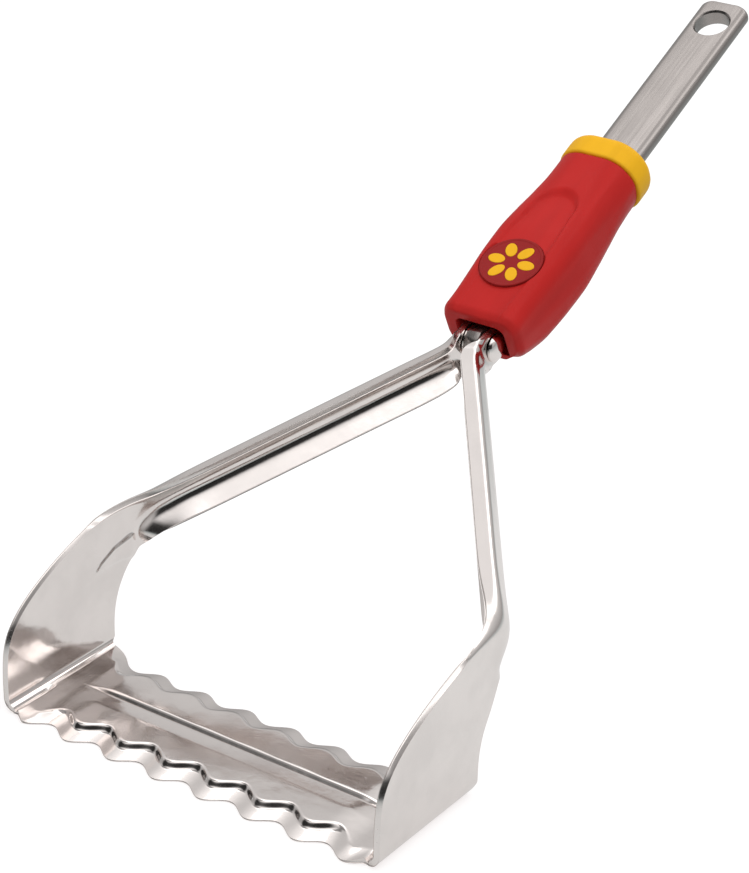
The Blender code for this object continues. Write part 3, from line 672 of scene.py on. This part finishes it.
def foot_and_plate_rows():
    # the right side from the blade's end up the side plate
    low = SHEET / 2
    rear = REAR_Y + REAR_WAVE
    foot_x = PLATE_X - CORNER_R
    foot_rear = rear + FOOT_REAR
    rows = [plain_row((BLADE_END, FRONT_Y, low), (BLADE_END, rear, low)),
            plain_row((foot_x, FRONT_Y, low), (foot_x, foot_rear, low))]
    for angle in BEND_ANGLES:
        x = foot_x + CORNER_R * math.sin(math.radians(angle))
        z = low + CORNER_R * (1 - math.cos(math.radians(angle)))
        rows.append(plain_row((x, FRONT_Y, z), (x, foot_rear + BEND_REAR * angle / 90, z)))
    for (front_y, front_z), (rear_y, rear_z), rear_in in PLATE_ROWS:
        front = (PLATE_X, FRONT_Y + front_y, front_z)
        rows.append(plain_row(front, (PLATE_X - rear_in, REAR_Y + rear_y, rear_z)))
    return rows


def from_plate(place):
    return np.array((PLATE_X - place[0], *place[1:]))


def arm_frame():
    # start and top of the arm's front corner, and the directions across its web and inward
    start = from_plate(ARM_START)
    top = PIVOT + ARM_TOP
    along = unit(top - start)
    across = unit(np.array(ARM_ACROSS) - along * float(along @ ARM_ACROSS))
    inward = np.cross(across, along)
    return start, top, across, inward if inward[0] < 0 else -inward


def curled(across, inward, turn):
    # direction of a flange that is turned inward from the web's own direction
    return across * math.cos(turn) + inward * math.sin(turn)


arm_start, arm_top, arm_across, arm_inward = arm_frame()
front_way = curled(arm_across, arm_inward, ARM_FRONT_TURN)
rear_way = curled(-arm_across, arm_inward, ARM_REAR_TURN)


def shoulder_rows():
    # the directions change from the side plate's to the arm's
    rows = []
    for *points, strip in SHOULDER_ROWS:
        front, rear, edge = (from_plate(p) for p in points)
        t = min(1.0, (PLATE_X - front[0]) / ARM_TURN)
        inward = unit(np.array((-1.0, 0.0, 0.0)) * (1 - t) + arm_inward * t)
        way = curled(unit(front - rear), inward, ARM_FRONT_TURN)
        radius = SHOULDER_BEND_R * (1 - t) + FRONT_BEND_R * t
        rows.append((front + way * strip, front, rear, edge, radius, REAR_BEND_R))
    return rows


def arm_rows():
    rows = []
    for t in ARM_SHARES:
        front = arm_start * (1 - t) + arm_top * t
        rear = front - arm_across * ARM_WEB
        strip = front + front_way * min(ARM_FRONT, (front[0] - ARM_MEET) / abs(front_way[0]))
        flange = rear + rear_way * min(ARM_REAR, (rear[0] - ARM_MEET) / abs(rear_way[0]))
        rows.append((strip, front, rear, flange, FRONT_BEND_R, REAR_BEND_R))
    return rows


def neck_and_ear_rows():
    # straight from the middle of the arm's top to the pivot, and round it
    pivot = PIVOT + (EAR_MID, 0, 0)
    run = (pivot - arm_top + arm_across * ARM_WEB / 2) * (0, 1, 1)
    neck = float(np.linalg.norm(run))
    run /= neck
    ear_across = np.array([0.0, -run[2], run[1]])
    rows = []
    for away, half, out, front_share, rear_share in NECK_ROWS:
        middle = pivot - run * away
        middle[0] = EAR_MID + out
        t = 1 - away / neck
        reach = unit(arm_across * (1 - t) + ear_across * t) * half
        room = middle[0] - ARM_MEET
        front, rear = middle + reach, middle - reach
        strip = front + front_way * front_share * room
        flange = rear + rear_way * rear_share * room
        rows.append((strip, front, rear, flange, FRONT_BEND_R, FRONT_BEND_R))
    for angle in np.radians(EAR_ANGLES):
        middle = pivot + run * EAR_R * math.sin(angle)
        reach = ear_across * EAR_R * math.cos(angle)
        front, rear = middle + reach, middle - reach
        rows.append((front, front, rear, rear, FRONT_BEND_R, FRONT_BEND_R))
    return rows


def rounded_corner(before, at, after, radius, shares):
    # points of the rounding, which takes no more than these shares of the two lengths beside it
    u, v = before - at, after - at
    long_u, long_v = np.linalg.norm(u), np.linalg.norm(v)
    if min(long_u, long_v) < CORNER_LEAST:
        return at[None, :]
    u, v = u / long_u, v / long_v
    angle = math.acos(float(np.clip(u @ v, -1.0, 1.0)))
    cut = min(radius / math.tan(angle / 2), shares[0] * long_u, shares[1] * long_v)
    t = np.linspace(0, 1, CORNER_POINTS)[:, None]
    return (at + u * cut * (1 - t)) * (1 - t) + (at + v * cut * t) * t


def section_points(row):
    # evenly spaced points along a row's line, a rim's radius in from both free edges
    front_edge, front, rear, rear_edge = row[0:3], row[3:6], row[6:9], row[9:12]
    path = np.concatenate([
        front_edge[None, :], rounded_corner(front_edge, front, rear, row[12], FRONT_CORNER_SHARES),
        rounded_corner(front, rear, rear_edge, row[13], REAR_CORNER_SHARES), rear_edge[None, :]])
    step = np.linalg.norm(np.diff(path, axis=0), axis=1)
    path = path[np.concatenate([[True], step > 1e-9])]
    length = np.concatenate([[0], np.cumsum(np.linalg.norm(np.diff(path, axis=0), axis=1))])
    want = RIM_R + SHARES * (length[-1] - 2 * RIM_R)
    return np.stack([np.interp(want, length, path[:, k]) for k in range(3)], 1)


def soften(values, rows, times):
    # even out values along the rows
    values = values.copy()
    for _ in range(times):
        mid = (values[:-2] + values[2:]) / 2
        values[1:-1][rows[1:-1]] += 0.5 * (mid - values[1:-1])[rows[1:-1]]
    return values


def side_grid():
    # the number of each fine row, counted in given rows, and its points
    rows = foot_and_plate_rows() + shoulder_rows() + arm_rows() + neck_and_ear_rows()
    table = np.array([np.concatenate([*row[:4], row[4:]]) for row in rows])
    last = len(rows) - 1
    number = np.linspace(0, last, last * ROW_STEPS + 1)
    fine = np.stack([smooth_curve(np.arange(last + 1), column, number) for column in table.T], 1)
    fine = soften(fine, number > FOOT_LAST, SOFTEN_ROWS)
    grid = np.array([section_points(row) for row in fine])
    return number, soften(grid, number > FOOT_LAST, SOFTEN_GRID)


def wave(x, height, phase):
    return -height * np.sin(2 * math.pi * (x - phase) / WAVE_PITCH)


def wave_fade(x):
    return ramp(np.abs(x), *WAVE_SPAN)


def blade_section(x):
    # Y, top and bottom of every column at X
    fade = float(wave_fade(x))
    f = FRONT_Y + fade * wave(x, FRONT_WAVE, FRONT_PHASE_X) + EDGE_BACK
    r = REAR_Y + fade * wave(x, REAR_WAVE, REAR_PHASE_X) - EDGE_BACK
    r += REAR_WIDE * float(ramp(abs(x), *REAR_WIDE_SPAN))
    crease_front = CREASE_Y - CREASE_HALF
    # Y, top and bottom where the blade is pressed, and its thickness where it isn't
    marks = np.array((
        (f, EDGE_THICK, 0.0, EDGE_THICK),
        (f + BEVEL_WIDTH, BEVEL_TOP, 0.0, SHEET),
        (f + BEVEL_WIDTH + STEP_WIDTH, BLADE_TOP, BLADE_LOW, SHEET),
        (crease_front - CREASE_SLOPE, BLADE_TOP, BLADE_LOW, SHEET),
        (crease_front, BLADE_TOP - CREASE_LIP * CREASE_DEPTH, BLADE_LOW, SHEET),
        (CREASE_Y, BLADE_TOP - CREASE_DEPTH, BLADE_LOW - CREASE_BELOW * CREASE_DEPTH, SHEET),
        (CREASE_Y + CREASE_HALF, BLADE_TOP, BLADE_LOW, SHEET),
        (r - BEVEL_WIDTH - STEP_WIDTH, BLADE_TOP, BLADE_LOW, SHEET),
        (r - BEVEL_WIDTH, BEVEL_TOP, 0.0, SHEET),
        (r, EDGE_THICK, 0.0, EDGE_THICK),
    ))
    columns = []
    for k, steps in enumerate(SECTION_STEPS):
        t = np.arange(steps)[:, None] / steps
        rise = t * (1 + t * (3 - 2 * t)) / 2 if k in STEP_SPANS else t
        columns.append(marks[k] + (marks[k + 1] - marks[k]) * np.concatenate([t, rise, rise, t], axis=1))
    y, top, low, flat = np.concatenate(columns + [marks[-1:]]).T
    press = float(ramp(abs(x), *PRESS_SPAN))
    bevel = float(ramp(abs(x), *BEVEL_SPAN))
    even = float(ramp(abs(x), *EVEN_SPAN))
    top = SHEET + (flat + (top - flat) * press - SHEET) * bevel
    return y * (1 - even) + (f + (r - f) * SHARES) * even, top, low * press


def stirrup_grid():
    # middle surface and half thickness from ear to ear, and the first and last row of the blade
    number, side = side_grid()
    foot = number <= FOOT_LAST
    foot_x = side[foot, :, 0]
    lead = ramp(SHARES, FOOT_LEAD, 0.0)
    side[foot, :, 1] += wave_fade(foot_x) * lead * wave(foot_x, FRONT_WAVE, FRONT_PHASE_X)
    blade_x = np.linspace(-BLADE_END, BLADE_END, 2 * BLADE_ROWS + 1)
    blade = np.empty((len(blade_x), COLUMNS, 3))
    blade_half = np.empty((len(blade_x), COLUMNS))
    for i, x in enumerate(blade_x):
        y, top, low = blade_section(x)
        blade[i] = np.stack([np.full(COLUMNS, x), y, (top + low) / 2], 1)
        blade_half[i] = (top - low) / 2
    # the foot meets the blade's own last row
    fall = ramp(number, FOOT_MEET, 0.0)[:, None]
    right, left = side.copy(), side.copy()
    right[:, :, 1] += fall * (blade[-1, :, 1] - side[0, :, 1])
    left[:, :, 1] += fall * (blade[0, :, 1] - side[0, :, 1])
    left[:, :, 0] *= -1
    grid = np.concatenate([left[:0:-1], blade, right[1:]])
    start = len(left) - 1
    stop = start + len(blade)
    half = np.full(grid.shape[:2], SHEET / 2)
    half[start:stop] = blade_half
    # along the foot the ground edge fades into the full sheet
    for i in [*range(start), *range(stop, len(grid))]:
        x = np.abs(grid[i, :, 0])
        thin = (grid[i, :, 2] < FOOT_HIGH) & (x < BEVEL_SPAN[0])
        if thin.any():
            _, top, low = blade_section(float(np.clip(x.mean(), 0, PLATE_X)))
            half[i] = np.where(thin, (top - low) / 2, half[i])
            grid[i, :, 2] = np.where(thin, (top - low) / 2, grid[i, :, 2])
    return grid, half, start, stop


def gusset_amount(x, y, z):
    high = np.interp(y, *zip(*GUSSET_HIGH))
    low = np.interp(y, *zip(*GUSSET_LOW))
    inside = ramp(np.minimum(high - z, z - low), *GUSSET_BORDER)
    return inside * ramp(y, *GUSSET_FRONT) * ramp(y, *GUSSET_REAR) * ramp(np.abs(x), *GUSSET_SIDE)


def slit_amount(x, y, z):
    return np.exp(-((np.abs(x) - SLIT_X) / SLIT_HALF) ** 2) * ramp(z, *SLIT_TOP) * ramp(y, *SLIT_REAR)


def grid_border(rows, cols):
    # the grid's border as one loop, in the direction of its faces
    last = (rows - 1) * cols
    return [*range(cols - 1), *range(cols - 1, last + cols - 1, cols),
            *range(last + cols - 1, last, -1), *range(last, 0, -cols)]


def sheet_mesh(name, inner, outer):
    # both sides of a sheet and the rounded rim that joins them
    rows, cols = inner.shape[:2]
    count = rows * cols
    inner, outer = inner.reshape(-1, 3), outer.reshape(-1, 3)
    top = []
    for i in range(rows - 1):
        for a in range(i * cols, i * cols + cols - 1):
            top.append((a, a + 1, a + cols + 1, a + cols))
    faces = top + [tuple(v + count for v in reversed(f)) for f in top]
    loop = np.array(grid_border(rows, cols))
    p = (inner[loop] + outer[loop]) / 2
    thick = np.linalg.norm(inner[loop] - outer[loop], axis=1)
    normal = unit(inner[loop] - outer[loop])
    ahead, behind = unit(np.roll(p, -1, 0) - p), unit(p - np.roll(p, 1, 0))
    out = unit(unit(np.cross(ahead, normal)) + unit(np.cross(behind, normal)))
    radius = np.minimum(RIM_R, RIM_SHARE * thick)[:, None]
    drops = [(1 - math.cos(a), math.sin(a)) for a in np.radians(RIM_ANGLES)]
    lines = [inner[loop] + (out * side - normal * drop) * radius for drop, side in drops]
    lines += [outer[loop] + (out * side + normal * drop) * radius for drop, side in reversed(drops)]
    rim = np.stack(lines, 1).reshape(-1, 3)
    # chains of points over the rim, from the inner surface to the outer
    chains = []
    for k, v in enumerate(int(v) for v in loop):
        first = 2 * count + k * len(lines)
        chains.append((v, *range(first, first + len(lines)), v + count))
    for here, there in zip(chains, chains[1:] + chains[:1]):
        for w in range(len(here) - 1):
            faces.append((there[w], here[w], here[w + 1], there[w + 1]))
    wear = np.zeros(2 * count)
    wear[loop] = RIM_WEAR
    wear[loop + count] = RIM_WEAR
    wear = np.concatenate([wear, np.ones(len(rim))])
    return mesh_object(name, fit_to_world(np.concatenate([inner, outer, rim])), faces, [chrome], 60, wear)


def stirrup_sheet():
    grid, half, start, stop = stirrup_grid()
    normal = unit(np.cross(np.gradient(grid, axis=0), np.gradient(grid, axis=1)))
    # on the blade the two surfaces are given by height
    normal[start:stop] = (0.0, 0.0, 1.0)
    inner = grid + normal * half[..., None]
    outer = grid - normal * half[..., None]
    inner = inner + normal * (GUSSET_DEPTH * gusset_amount(*np.moveaxis(grid, -1, 0)))[..., None]
    inner = inner - normal * (SLIT_DEPTH * slit_amount(*np.moveaxis(inner, -1, 0)))[..., None]
    return sheet_mesh("stirrup_sheet", inner, outer)


stirrup = stirrup_sheet()
cuts = []
for tag, sign in (("left", -1), ("right", 1)):
    hole = [(RIVET_HOLE_R, sign * (EAR_MID - EAR_CUT)), (RIVET_HOLE_R, sign * (EAR_MID + EAR_CUT))]
    cuts.append(lathe("cut_ear_" + tag, hole, BORE_STEPS, "X", []))
carve(stirrup, cuts, 50)
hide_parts("blade", "side_plate_left", "side_plate_right", "arm_left", "arm_right")
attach(stirrup, "stirrup")


# Pivot: rivet, washers and bush

def rivet_mesh():
    grow, long = RIVET_NECK
    head = [(max(POLE_R, HEAD_R * r), SHANK_HALF + HEAD_HIGH * a) for r, a in HEAD_DOME]
    neck = [(RIVET_R + grow, SHANK_HALF), (RIVET_R, SHANK_HALF - long)]
    return lathe("rivet_turned", mirrored(head + neck), WASHER_STEPS, "X", [chrome], 40)


rivet = rivet_mesh()
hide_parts("pivot_rivet")
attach(rivet, frame["nodes"]["pivot_rivet"]["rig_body"])

for tag, sign in (("left", -1), ("right", 1)):
    start = TONGUE_HALF + GAP
    prof = ring_profile(RIVET_HOLE_R, WASHER_R, start, start + WASHER_THICK, WASHER_EDGE)
    prof = [(r, sign * x) for r, x in prof]
    washer = lathe("washer_disc_" + tag, prof, WASHER_STEPS, "X", [chrome], closed=True)
    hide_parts("washer_" + tag)
    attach(washer, frame["nodes"]["washer_" + tag]["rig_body"])

bush_r = RIVET_HOLE_R + BUSH_WALL
prof = ring_profile(RIVET_HOLE_R, bush_r, -TONGUE_HALF, TONGUE_HALF, BUSH_EDGE)
bush = lathe("bush_turned", prof, BORE_STEPS, "X", [satin], closed=True)
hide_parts("pivot_bush")
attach(bush, frame["nodes"]["pivot_bush"]["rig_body"])


# Tang

def arc(x, z, r, start, stop, count):
    return [(x + r * math.cos(a), z + r * math.sin(a)) for a in np.radians(np.linspace(start, stop, count))]


def rounded_section(half_w, half_t, radius, s):
    r = min(radius, half_w * FULL_ROUND, half_t * FULL_ROUND)
    pts = []
    for right, up, angle in ((1, 1, 0), (-1, 1, 90), (-1, -1, 180), (1, -1, 270)):
        pts += arc(right * (half_w - r), up * (half_t - r), r, angle, angle + 90, TANG_CORNER_POINTS)
    return [(x, s, z) for x, z in pts]


def tang_mesh():
    half = TANG_WIDTH / 2
    bar = COLLAR_END + GAP
    end = TANG_LENGTH - TANG_BOW - TANG_CORNER_R
    # place along the tang, half width and thickness
    stations = [(s, TONGUE_HALF, TANG_SEAT_THICK) for s in TONGUE_AT]
    for t in np.linspace(0, 1, TONGUE_GROW_ROWS):
        grown = TONGUE_HALF + (half - TONGUE_HALF) * float(ramp(t, 0, 1))
        stations.append((TONGUE_END + TONGUE_GROW * t, grown, TANG_SEAT_THICK))
    for s in np.linspace(SEAT_FROM, bar, SEAT_ROWS):
        stations.append((s, half, TANG_SEAT_THICK))
    stations.append((bar + SHOULDER_LONG, half, TANG_THICK))
    for s in np.linspace(bar + BAR_FROM, end - BAR_TO, BAR_ROWS):
        stations.append((s, half, TANG_THICK))
    for a in np.radians(TANG_CORNER_ANGLES):
        drop = TANG_CORNER_R * (1 - math.cos(a))
        stations.append((end + TANG_CORNER_R * math.sin(a), half - drop, TANG_THICK))
    secs = []
    for s, w, thick in stations:
        secs.append(rounded_section(w, thick / 2, min(TANG_EDGE_R, w - 0.1), s))
    # the end is bowed and its faces are rounded over
    for k, (inset, share) in enumerate(TANG_END):
        narrow = (1 - TANG_CORNER_R / half) * (1 - TANG_END_NARROW * k)
        section = rounded_section(half, (TANG_THICK - inset) / 2, TANG_EDGE_R, 0)
        secs.append([(x * narrow, TANG_LENGTH - TANG_BOW * (1 - share * (1 - (x / half) ** 2)), z)
                     for x, _, z in section])
    return loft("tang_bar", secs, [satin], 40)


def eye_mesh():
    # the round front of the tongue with a stem that reaches into the bar
    side = []
    for k in range(EYE_STEPS + 1):
        a = math.radians(90 + 180 * k / EYE_STEPS)
        side.append((EYE_R * math.cos(a), EYE_R * math.sin(a)))
    reach = MOUTH_END - EYE_STEM_GAP
    side += [(reach, -TANG_SEAT_THICK / 2), (reach, TANG_SEAT_THICK / 2)]
    layers = [(deep - TONGUE_HALF, 1 - inset / EYE_R) for deep, inset in EYE_EDGE]
    layers += [(-x, share) for x, share in reversed(layers)]
    return loft("cut_eye", [[(x, y * share, z * share) for y, z in side] for x, share in layers], [satin])


tang = tang_mesh()
carve(tang, [eye_mesh()], 28, "UNION")
bore = mirrored([(HANG_HOLE_R + grow, -TANG_THICK / 2 - high) for grow, high in HANG_FLARE])
hang_cut = lathe("cut_hang", bore, HOLE_STEPS, "Z", [satin], at=TANG_LENGTH - HANG_HOLE_AT)
bore = [(bush_r + GAP, -EYE_CUT), (bush_r + GAP, EYE_CUT)]
eye_cut = lathe("cut_bore", bore, BORE_STEPS, "X", [satin])
carve(tang, [hang_cut, eye_cut], 28)
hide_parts("tang")
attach(tang, "handle")


# Sleeve

def sleeve_half(s):
    # half width, thickness above and below the axis, and corner radius, at distance s from the pivot
    tables = ((SLEEVE_AT, SLEEVE_WIDE), (SLEEVE_AT, SLEEVE_HIGH), (SLEEVE_LOW_AT, SLEEVE_LOW),
              (SLEEVE_AT, SLEEVE_CORNER))
    return [smooth_curve(at, sizes, s)[0] for at, sizes in tables]


def around(w, high, low, r, inset=0.0):
    # closed outline of equal steps, starting in the middle of the top, as X and Z
    w, high, low = w - inset, high - inset, low - inset
    r = min(r - 0.5 * inset, w * FULL_ROUND, (high + low) / 2 * FULL_ROUND)
    pts = [(0.0, high)]
    for right, z, angle in ((1, high - r, 90), (1, r - low, 0), (-1, r - low, -90), (-1, high - r, -180)):
        pts += arc(right * (w - r), z, r, angle, angle - 90, OUTLINE_CORNER_POINTS)
    pts = np.array(pts + [(0.0, high)])
    s = np.concatenate([[0], np.cumsum(np.linalg.norm(np.diff(pts, axis=0), axis=1))])
    want = np.linspace(0, s[-1], AROUND + 1)[:-1]
    return np.stack([np.interp(want, s, pts[:, 0]), np.interp(want, s, pts[:, 1])], 1)


def at_station(outline, s):
    return np.stack([outline[:, 0], np.full(len(outline), s), outline[:, 1]], 1)


def channel_outline(grow=0.0, corner=CHANNEL_CORNER):
    half_w, half_t = TANG_WIDTH / 2 + GAP + grow, TANG_SEAT_THICK / 2 + GAP + grow
    return around(half_w, half_t, half_t, corner)


def mouth_outline(grow, corner):
    return around(MOUTH_HALF_W + grow, MOUTH_HALF_T + grow, MOUTH_HALF_T + grow, corner)


def ringed(name, rings, mat):
    # a closed mesh over rings of equal steps, each given with its wear
    points, worn = zip(*rings)
    faces = ring_faces(len(rings), AROUND, True)
    wear = np.repeat(worn, AROUND)
    return mesh_object(name, local_to_world(np.concatenate(points)), faces, [mat], 50, wear)


def panel_sink(x, s):
    # how deep the top panel lies below the skin at (x, s)
    arc = np.clip((s - PANEL_ARC_AT) / (PANEL_TIP - PANEL_ARC_AT), 0.0, 1.0)
    arc_half = PANEL_ARC_HALF * np.sqrt(1.0 - arc ** PANEL_SIDE_POWER)
    half = np.where(s > PANEL_ARC_AT, arc_half, np.interp(s, *zip(*PANEL_HALF)))
    side_in = (half - np.abs(x)) / PANEL_SIDE_BORDER
    # distance from the far arc, along the tang
    round_share = np.maximum(1.0 - (np.abs(x) / PANEL_ARC_HALF) ** 2, 0.0) ** PANEL_TIP_POWER
    tip_in = (PANEL_ARC_AT + (PANEL_TIP - PANEL_ARC_AT) * round_share - s) / PANEL_TIP_BORDER
    inside = np.minimum(side_in, np.where(s > PANEL_TIP_FROM, tip_in, 1.0))
    return np.interp(s, *zip(*PANEL_DEPTH)) * ramp(inside, 0.0, 1.0)


def sleeve_outline(s, inset=0.0):
    w, high, low, r = sleeve_half(s)
    x, z = around(w, high, low, r, inset).T
    ridge = np.interp(s, *zip(*RIDGE))
    off = np.sqrt((z - ridge) ** 2 + RIDGE_ROUND ** 2) - RIDGE_ROUND
    flank = np.clip((np.abs(x) / w - FLANK_FROM) / (1 - FLANK_FROM), 0, 1)
    x = x - np.sign(x) * RIDGE_LEAN * off * flank * ramp(s, 0.0, RIDGE_FULL_AT)
    z = np.where(z > 0, z - panel_sink(x, s), z)
    return at_station(np.stack([x, z], 1), s)


def sleeve_mesh():
    channel = channel_outline()
    mouth = mouth_outline(0.0, MOUTH_CORNER)
    narrow = mouth_outline(-MOUTH_STEP, MOUTH_CORNER - MOUTH_STEP)
    rings = []

    def put(ring, worn=0.0):
        rings.append((ring, worn))

    # the channel for the tang and the wider mouth, from the back to the front
    for s in (SLEEVE_END, SLEEVE_END - 0.4, *CHANNEL_AT, MOUTH_END + 0.4, MOUTH_END):
        put(at_station(channel, s))
    put(at_station((channel + narrow) / 2, MOUTH_END))
    put(at_station(narrow, MOUTH_END))
    for s in (MOUTH_END - MOUTH_STEP, *MOUTH_AT, SLEEVE_START + 1.2):
        put(at_station(mouth, s))
    # lip of the mouth, front face and the rounded rim
    inner = at_station(mouth, SLEEVE_START + 0.6)
    put(inner + unit(sleeve_outline(SLEEVE_START + FACE_BACK) - inner) * LIP_ROUND, worn=0.4)
    front = sleeve_outline(SLEEVE_START + FACE_BACK, FACE_INSET)
    front[:, 1] = SLEEVE_START
    lip = at_station(mouth_outline(LIP_GROW, LIP_CORNER), SLEEVE_START + 0.05)
    put(lip, worn=0.6)
    for t in LIP_SHARES:
        put(lip * (1 - t) + front * t, worn=0.3)
    for inset, back in SLEEVE_RIM:
        put(sleeve_outline(SLEEVE_START + back, inset), worn=0.5)
    for s in np.arange(SLEEVE_START + SKIN_FROM, SLEEVE_END - SKIN_TO, SKIN_STEP):
        put(sleeve_outline(s))
    for inset, ahead in SLEEVE_BACK:
        ring = sleeve_outline(SLEEVE_END - SLEEVE_BACK[0][1], inset)
        ring[:, 1] = SLEEVE_END - ahead
        put(ring, worn=0.5)
    return ringed("sleeve_grip", rings, red)


sleeve = sleeve_mesh()
badge_seat = sleeve_half(BADGE_AT)[1] - BADGE_SINK
well = [(BADGE_R + out, badge_seat + up) for out, up in BADGE_WELL]
carve(sleeve, [lathe("cut_seat", well, BADGE_STEPS, "Z", [red], at=BADGE_AT)], 38)
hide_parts("sleeve")
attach(sleeve, "handle")


# Collar

def collar_mesh():
    w, high, low, r = (v + COLLAR_LIP for v in sleeve_half(SLEEVE_END))
    rings = []
    for along, inset, worn in COLLAR_PROFILE:
        rings.append((at_station(around(w, high, low, r, inset), COLLAR_START + along), worn))
    bore, flare = channel_outline(), channel_outline(COLLAR_FLARE, COLLAR_FLARE_CORNER)
    back, front = COLLAR_EDGE
    for outline, s in ((flare, COLLAR_END), (bore, COLLAR_END - back), (bore, COLLAR_START + front),
                       (bore, COLLAR_START)):
        rings.append((at_station(outline, s), COLLAR_BORE_WEAR))
    return ringed("collar_ring", rings, yellow)


collar = collar_mesh()
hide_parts("collar")
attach(collar, "handle")


# Badge: a disc with a raised rim and six petals

def petal_ring(grow, z, turn):
    pts = []
    for k in range(PETAL_POINTS):
        a = 2 * math.pi * k / PETAL_POINTS
        u = PETAL_AT + (PETAL_LONG / 2 + grow) * math.cos(a)
        v = (PETAL_WIDE / 2 + grow) * math.sin(a)
        pts.append((u * math.cos(turn) - v * math.sin(turn),
                    BADGE_AT + u * math.sin(turn) + v * math.cos(turn), z))
    return pts


def petal_mesh(name, number, edge, mats):
    turn = 2 * math.pi * number / PETALS
    return loft(name, [petal_ring(grow, badge_top + up, turn) for grow, up in edge], mats)


badge_top = badge_seat + GAP + BADGE_THICK
disc_prof = [(POLE_R, badge_top - BADGE_THICK)]
disc_prof += [(BADGE_R - into, badge_top - down) for into, down in BADGE_RIM]
disc_prof += [(POLE_R, badge_top - BADGE_FIELD)]
disc = lathe("badge_plate", disc_prof, BADGE_STEPS, "Z", [dark_red], 25, BADGE_AT)
carve(disc, [petal_mesh("cut_bed_%d" % k, k, PETAL_BED, [dark_red]) for k in range(PETALS)], 25)
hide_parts("badge_disc")
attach(disc, "handle")
for k in range(PETALS):
    leaf = petal_mesh("petal_%d" % (k + 1), k, PETAL_EDGE, [yellow])
    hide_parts("badge_petal_%d" % (k + 1))
    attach(leaf, "handle")


# Floor

def floor_material():
    mat = bpy.data.materials.new("pale_floor")
    mat.use_nodes = True
    mat.node_tree.nodes.clear()
    n = Nodes(mat.node_tree)
    path = n.add("LightPath").outputs
    seen = n.math("MAXIMUM", path["Is Camera Ray"], path["Is Transmission Ray"])
    # in reflections the floor is bright round the object and fades away from it
    place = n.add("TexCoord").outputs["Object"]
    away = n.add("VectorMath", {0: place}, operation="LENGTH").outputs["Value"]
    back = n.add("SeparateXYZ", {0: place}).outputs[1]
    mirrored_glow = n.times(n.span(away, *FLOOR_NEAR), n.span(back, *FLOOR_AHEAD))
    strength = n.either(path["Is Glossy Ray"], mirrored_glow, seen)
    glow = n.add("Emission", {"Color": rgba(FLOOR_GLOW), "Strength": strength})
    coat = n.add("BsdfDiffuse", {"Color": rgba(FLOOR_COAT)})
    both = n.add("AddShader", {0: glow.outputs[0], 1: coat.outputs[0]})
    n.add("OutputMaterial", {"Surface": both.outputs[0]})
    return mat


me = bpy.data.meshes.new("floor")
bm = bmesh.new()
bmesh.ops.create_circle(bm, cap_ends=True, segments=96, radius=FLOOR_R)
bm.to_mesh(me)
bm.free()
floor = new_object("floor", me)
floor.location.z = FLOOR_Z
me.materials.append(floor_material())


# World, lamp and camera

def studio_world():
    world = bpy.data.worlds.new("studio")
    bpy.context.scene.world = world
    world.use_nodes = True
    world.node_tree.nodes.clear()
    n = Nodes(world.node_tree)
    way = n.add("TexCoord").outputs["Generated"]
    way = n.add("VectorMath", {0: way}, operation="NORMALIZE").outputs[0]
    _, back, up = n.add("SeparateXYZ", {0: way}).outputs

    def toward(aim):
        return n.add("VectorMath", {0: way, 1: aim}, operation="DOT_PRODUCT").outputs["Value"]

    # a white ceiling and a white panel, grey low down, and darker where the lamp adds its own light
    light = n.math("ADD", n.span(up, *LOW_SPAN), n.span(up, *HIGH_SPAN))
    light = n.math("ADD", light, n.span(toward(WHITE_WAY), *WHITE_SPAN))
    light = n.times(light, n.span(toward(LAMP_WAY), *LAMP_SPAN))
    # a dark curtain low in front of the object and a grey card
    curtain = n.times(n.span(n.times(back, -1.0), *CURTAIN_AHEAD), n.span(up, *CURTAIN_HIGH))
    dark = n.math("MAXIMUM", curtain, n.span(toward(GREY_WAY), *GREY_SPAN))
    light = n.times(light, n.math("SUBTRACT", 1.0, dark))
    path = n.add("LightPath").outputs
    clear = n.math("MAXIMUM", path["Is Camera Ray"], path["Is Transmission Ray"])
    level = n.either(clear, 1.0, n.either(path["Is Glossy Ray"], light, WORLD_LIGHT))
    sky = n.add("Background", {"Color": (1.0, 1.0, 1.0, 1.0), "Strength": level})
    n.add("OutputWorld", {"Surface": sky.outputs[0]})


def lamp():
    data = bpy.data.lights.new("softbox_top", "AREA")
    data.shape = "SQUARE"
    data.size = LAMP_SIZE
    data.energy = LAMP_RADIANCE * math.pi * LAMP_SIZE * LAMP_SIZE
    ob = new_object("softbox_top", data)
    ob.location = LAMP_PLACE
    ob.rotation_euler = (Vector(LAMP_AIM) - Vector(LAMP_PLACE)).to_track_quat("-Z", "Y").to_euler()


def camera():
    turn, rise, roll = (math.radians(a) for a in (CAMERA_TURN, CAMERA_RISE, CAMERA_ROLL))
    back = Vector((math.sin(turn) * math.cos(rise), -math.cos(turn) * math.cos(rise), math.sin(rise)))
    right = Vector((math.cos(turn), math.sin(turn), 0))
    up = back.cross(right)
    c, s = math.cos(roll), math.sin(roll)
    right, up = right * c + up * s, up * c - right * s
    place = Matrix((right, up, back)).transposed().to_4x4()
    place.translation = Vector(CAMERA_TARGET) + back * CAMERA_AWAY
    data = bpy.data.cameras.new("camera")
    data.sensor_fit = "AUTO"
    data.sensor_width = SENSOR
    data.lens = FOCAL_PIXELS / PHOTO_HIGH * SENSOR
    data.clip_start = CLIP_START
    cam = new_object("camera", data)
    cam.matrix_world = place
    bpy.context.scene.camera = cam


studio_world()
lamp()
camera()
bpy.context.scene.view_settings.view_transform = "Standard"

bpy.context.view_layer.update()
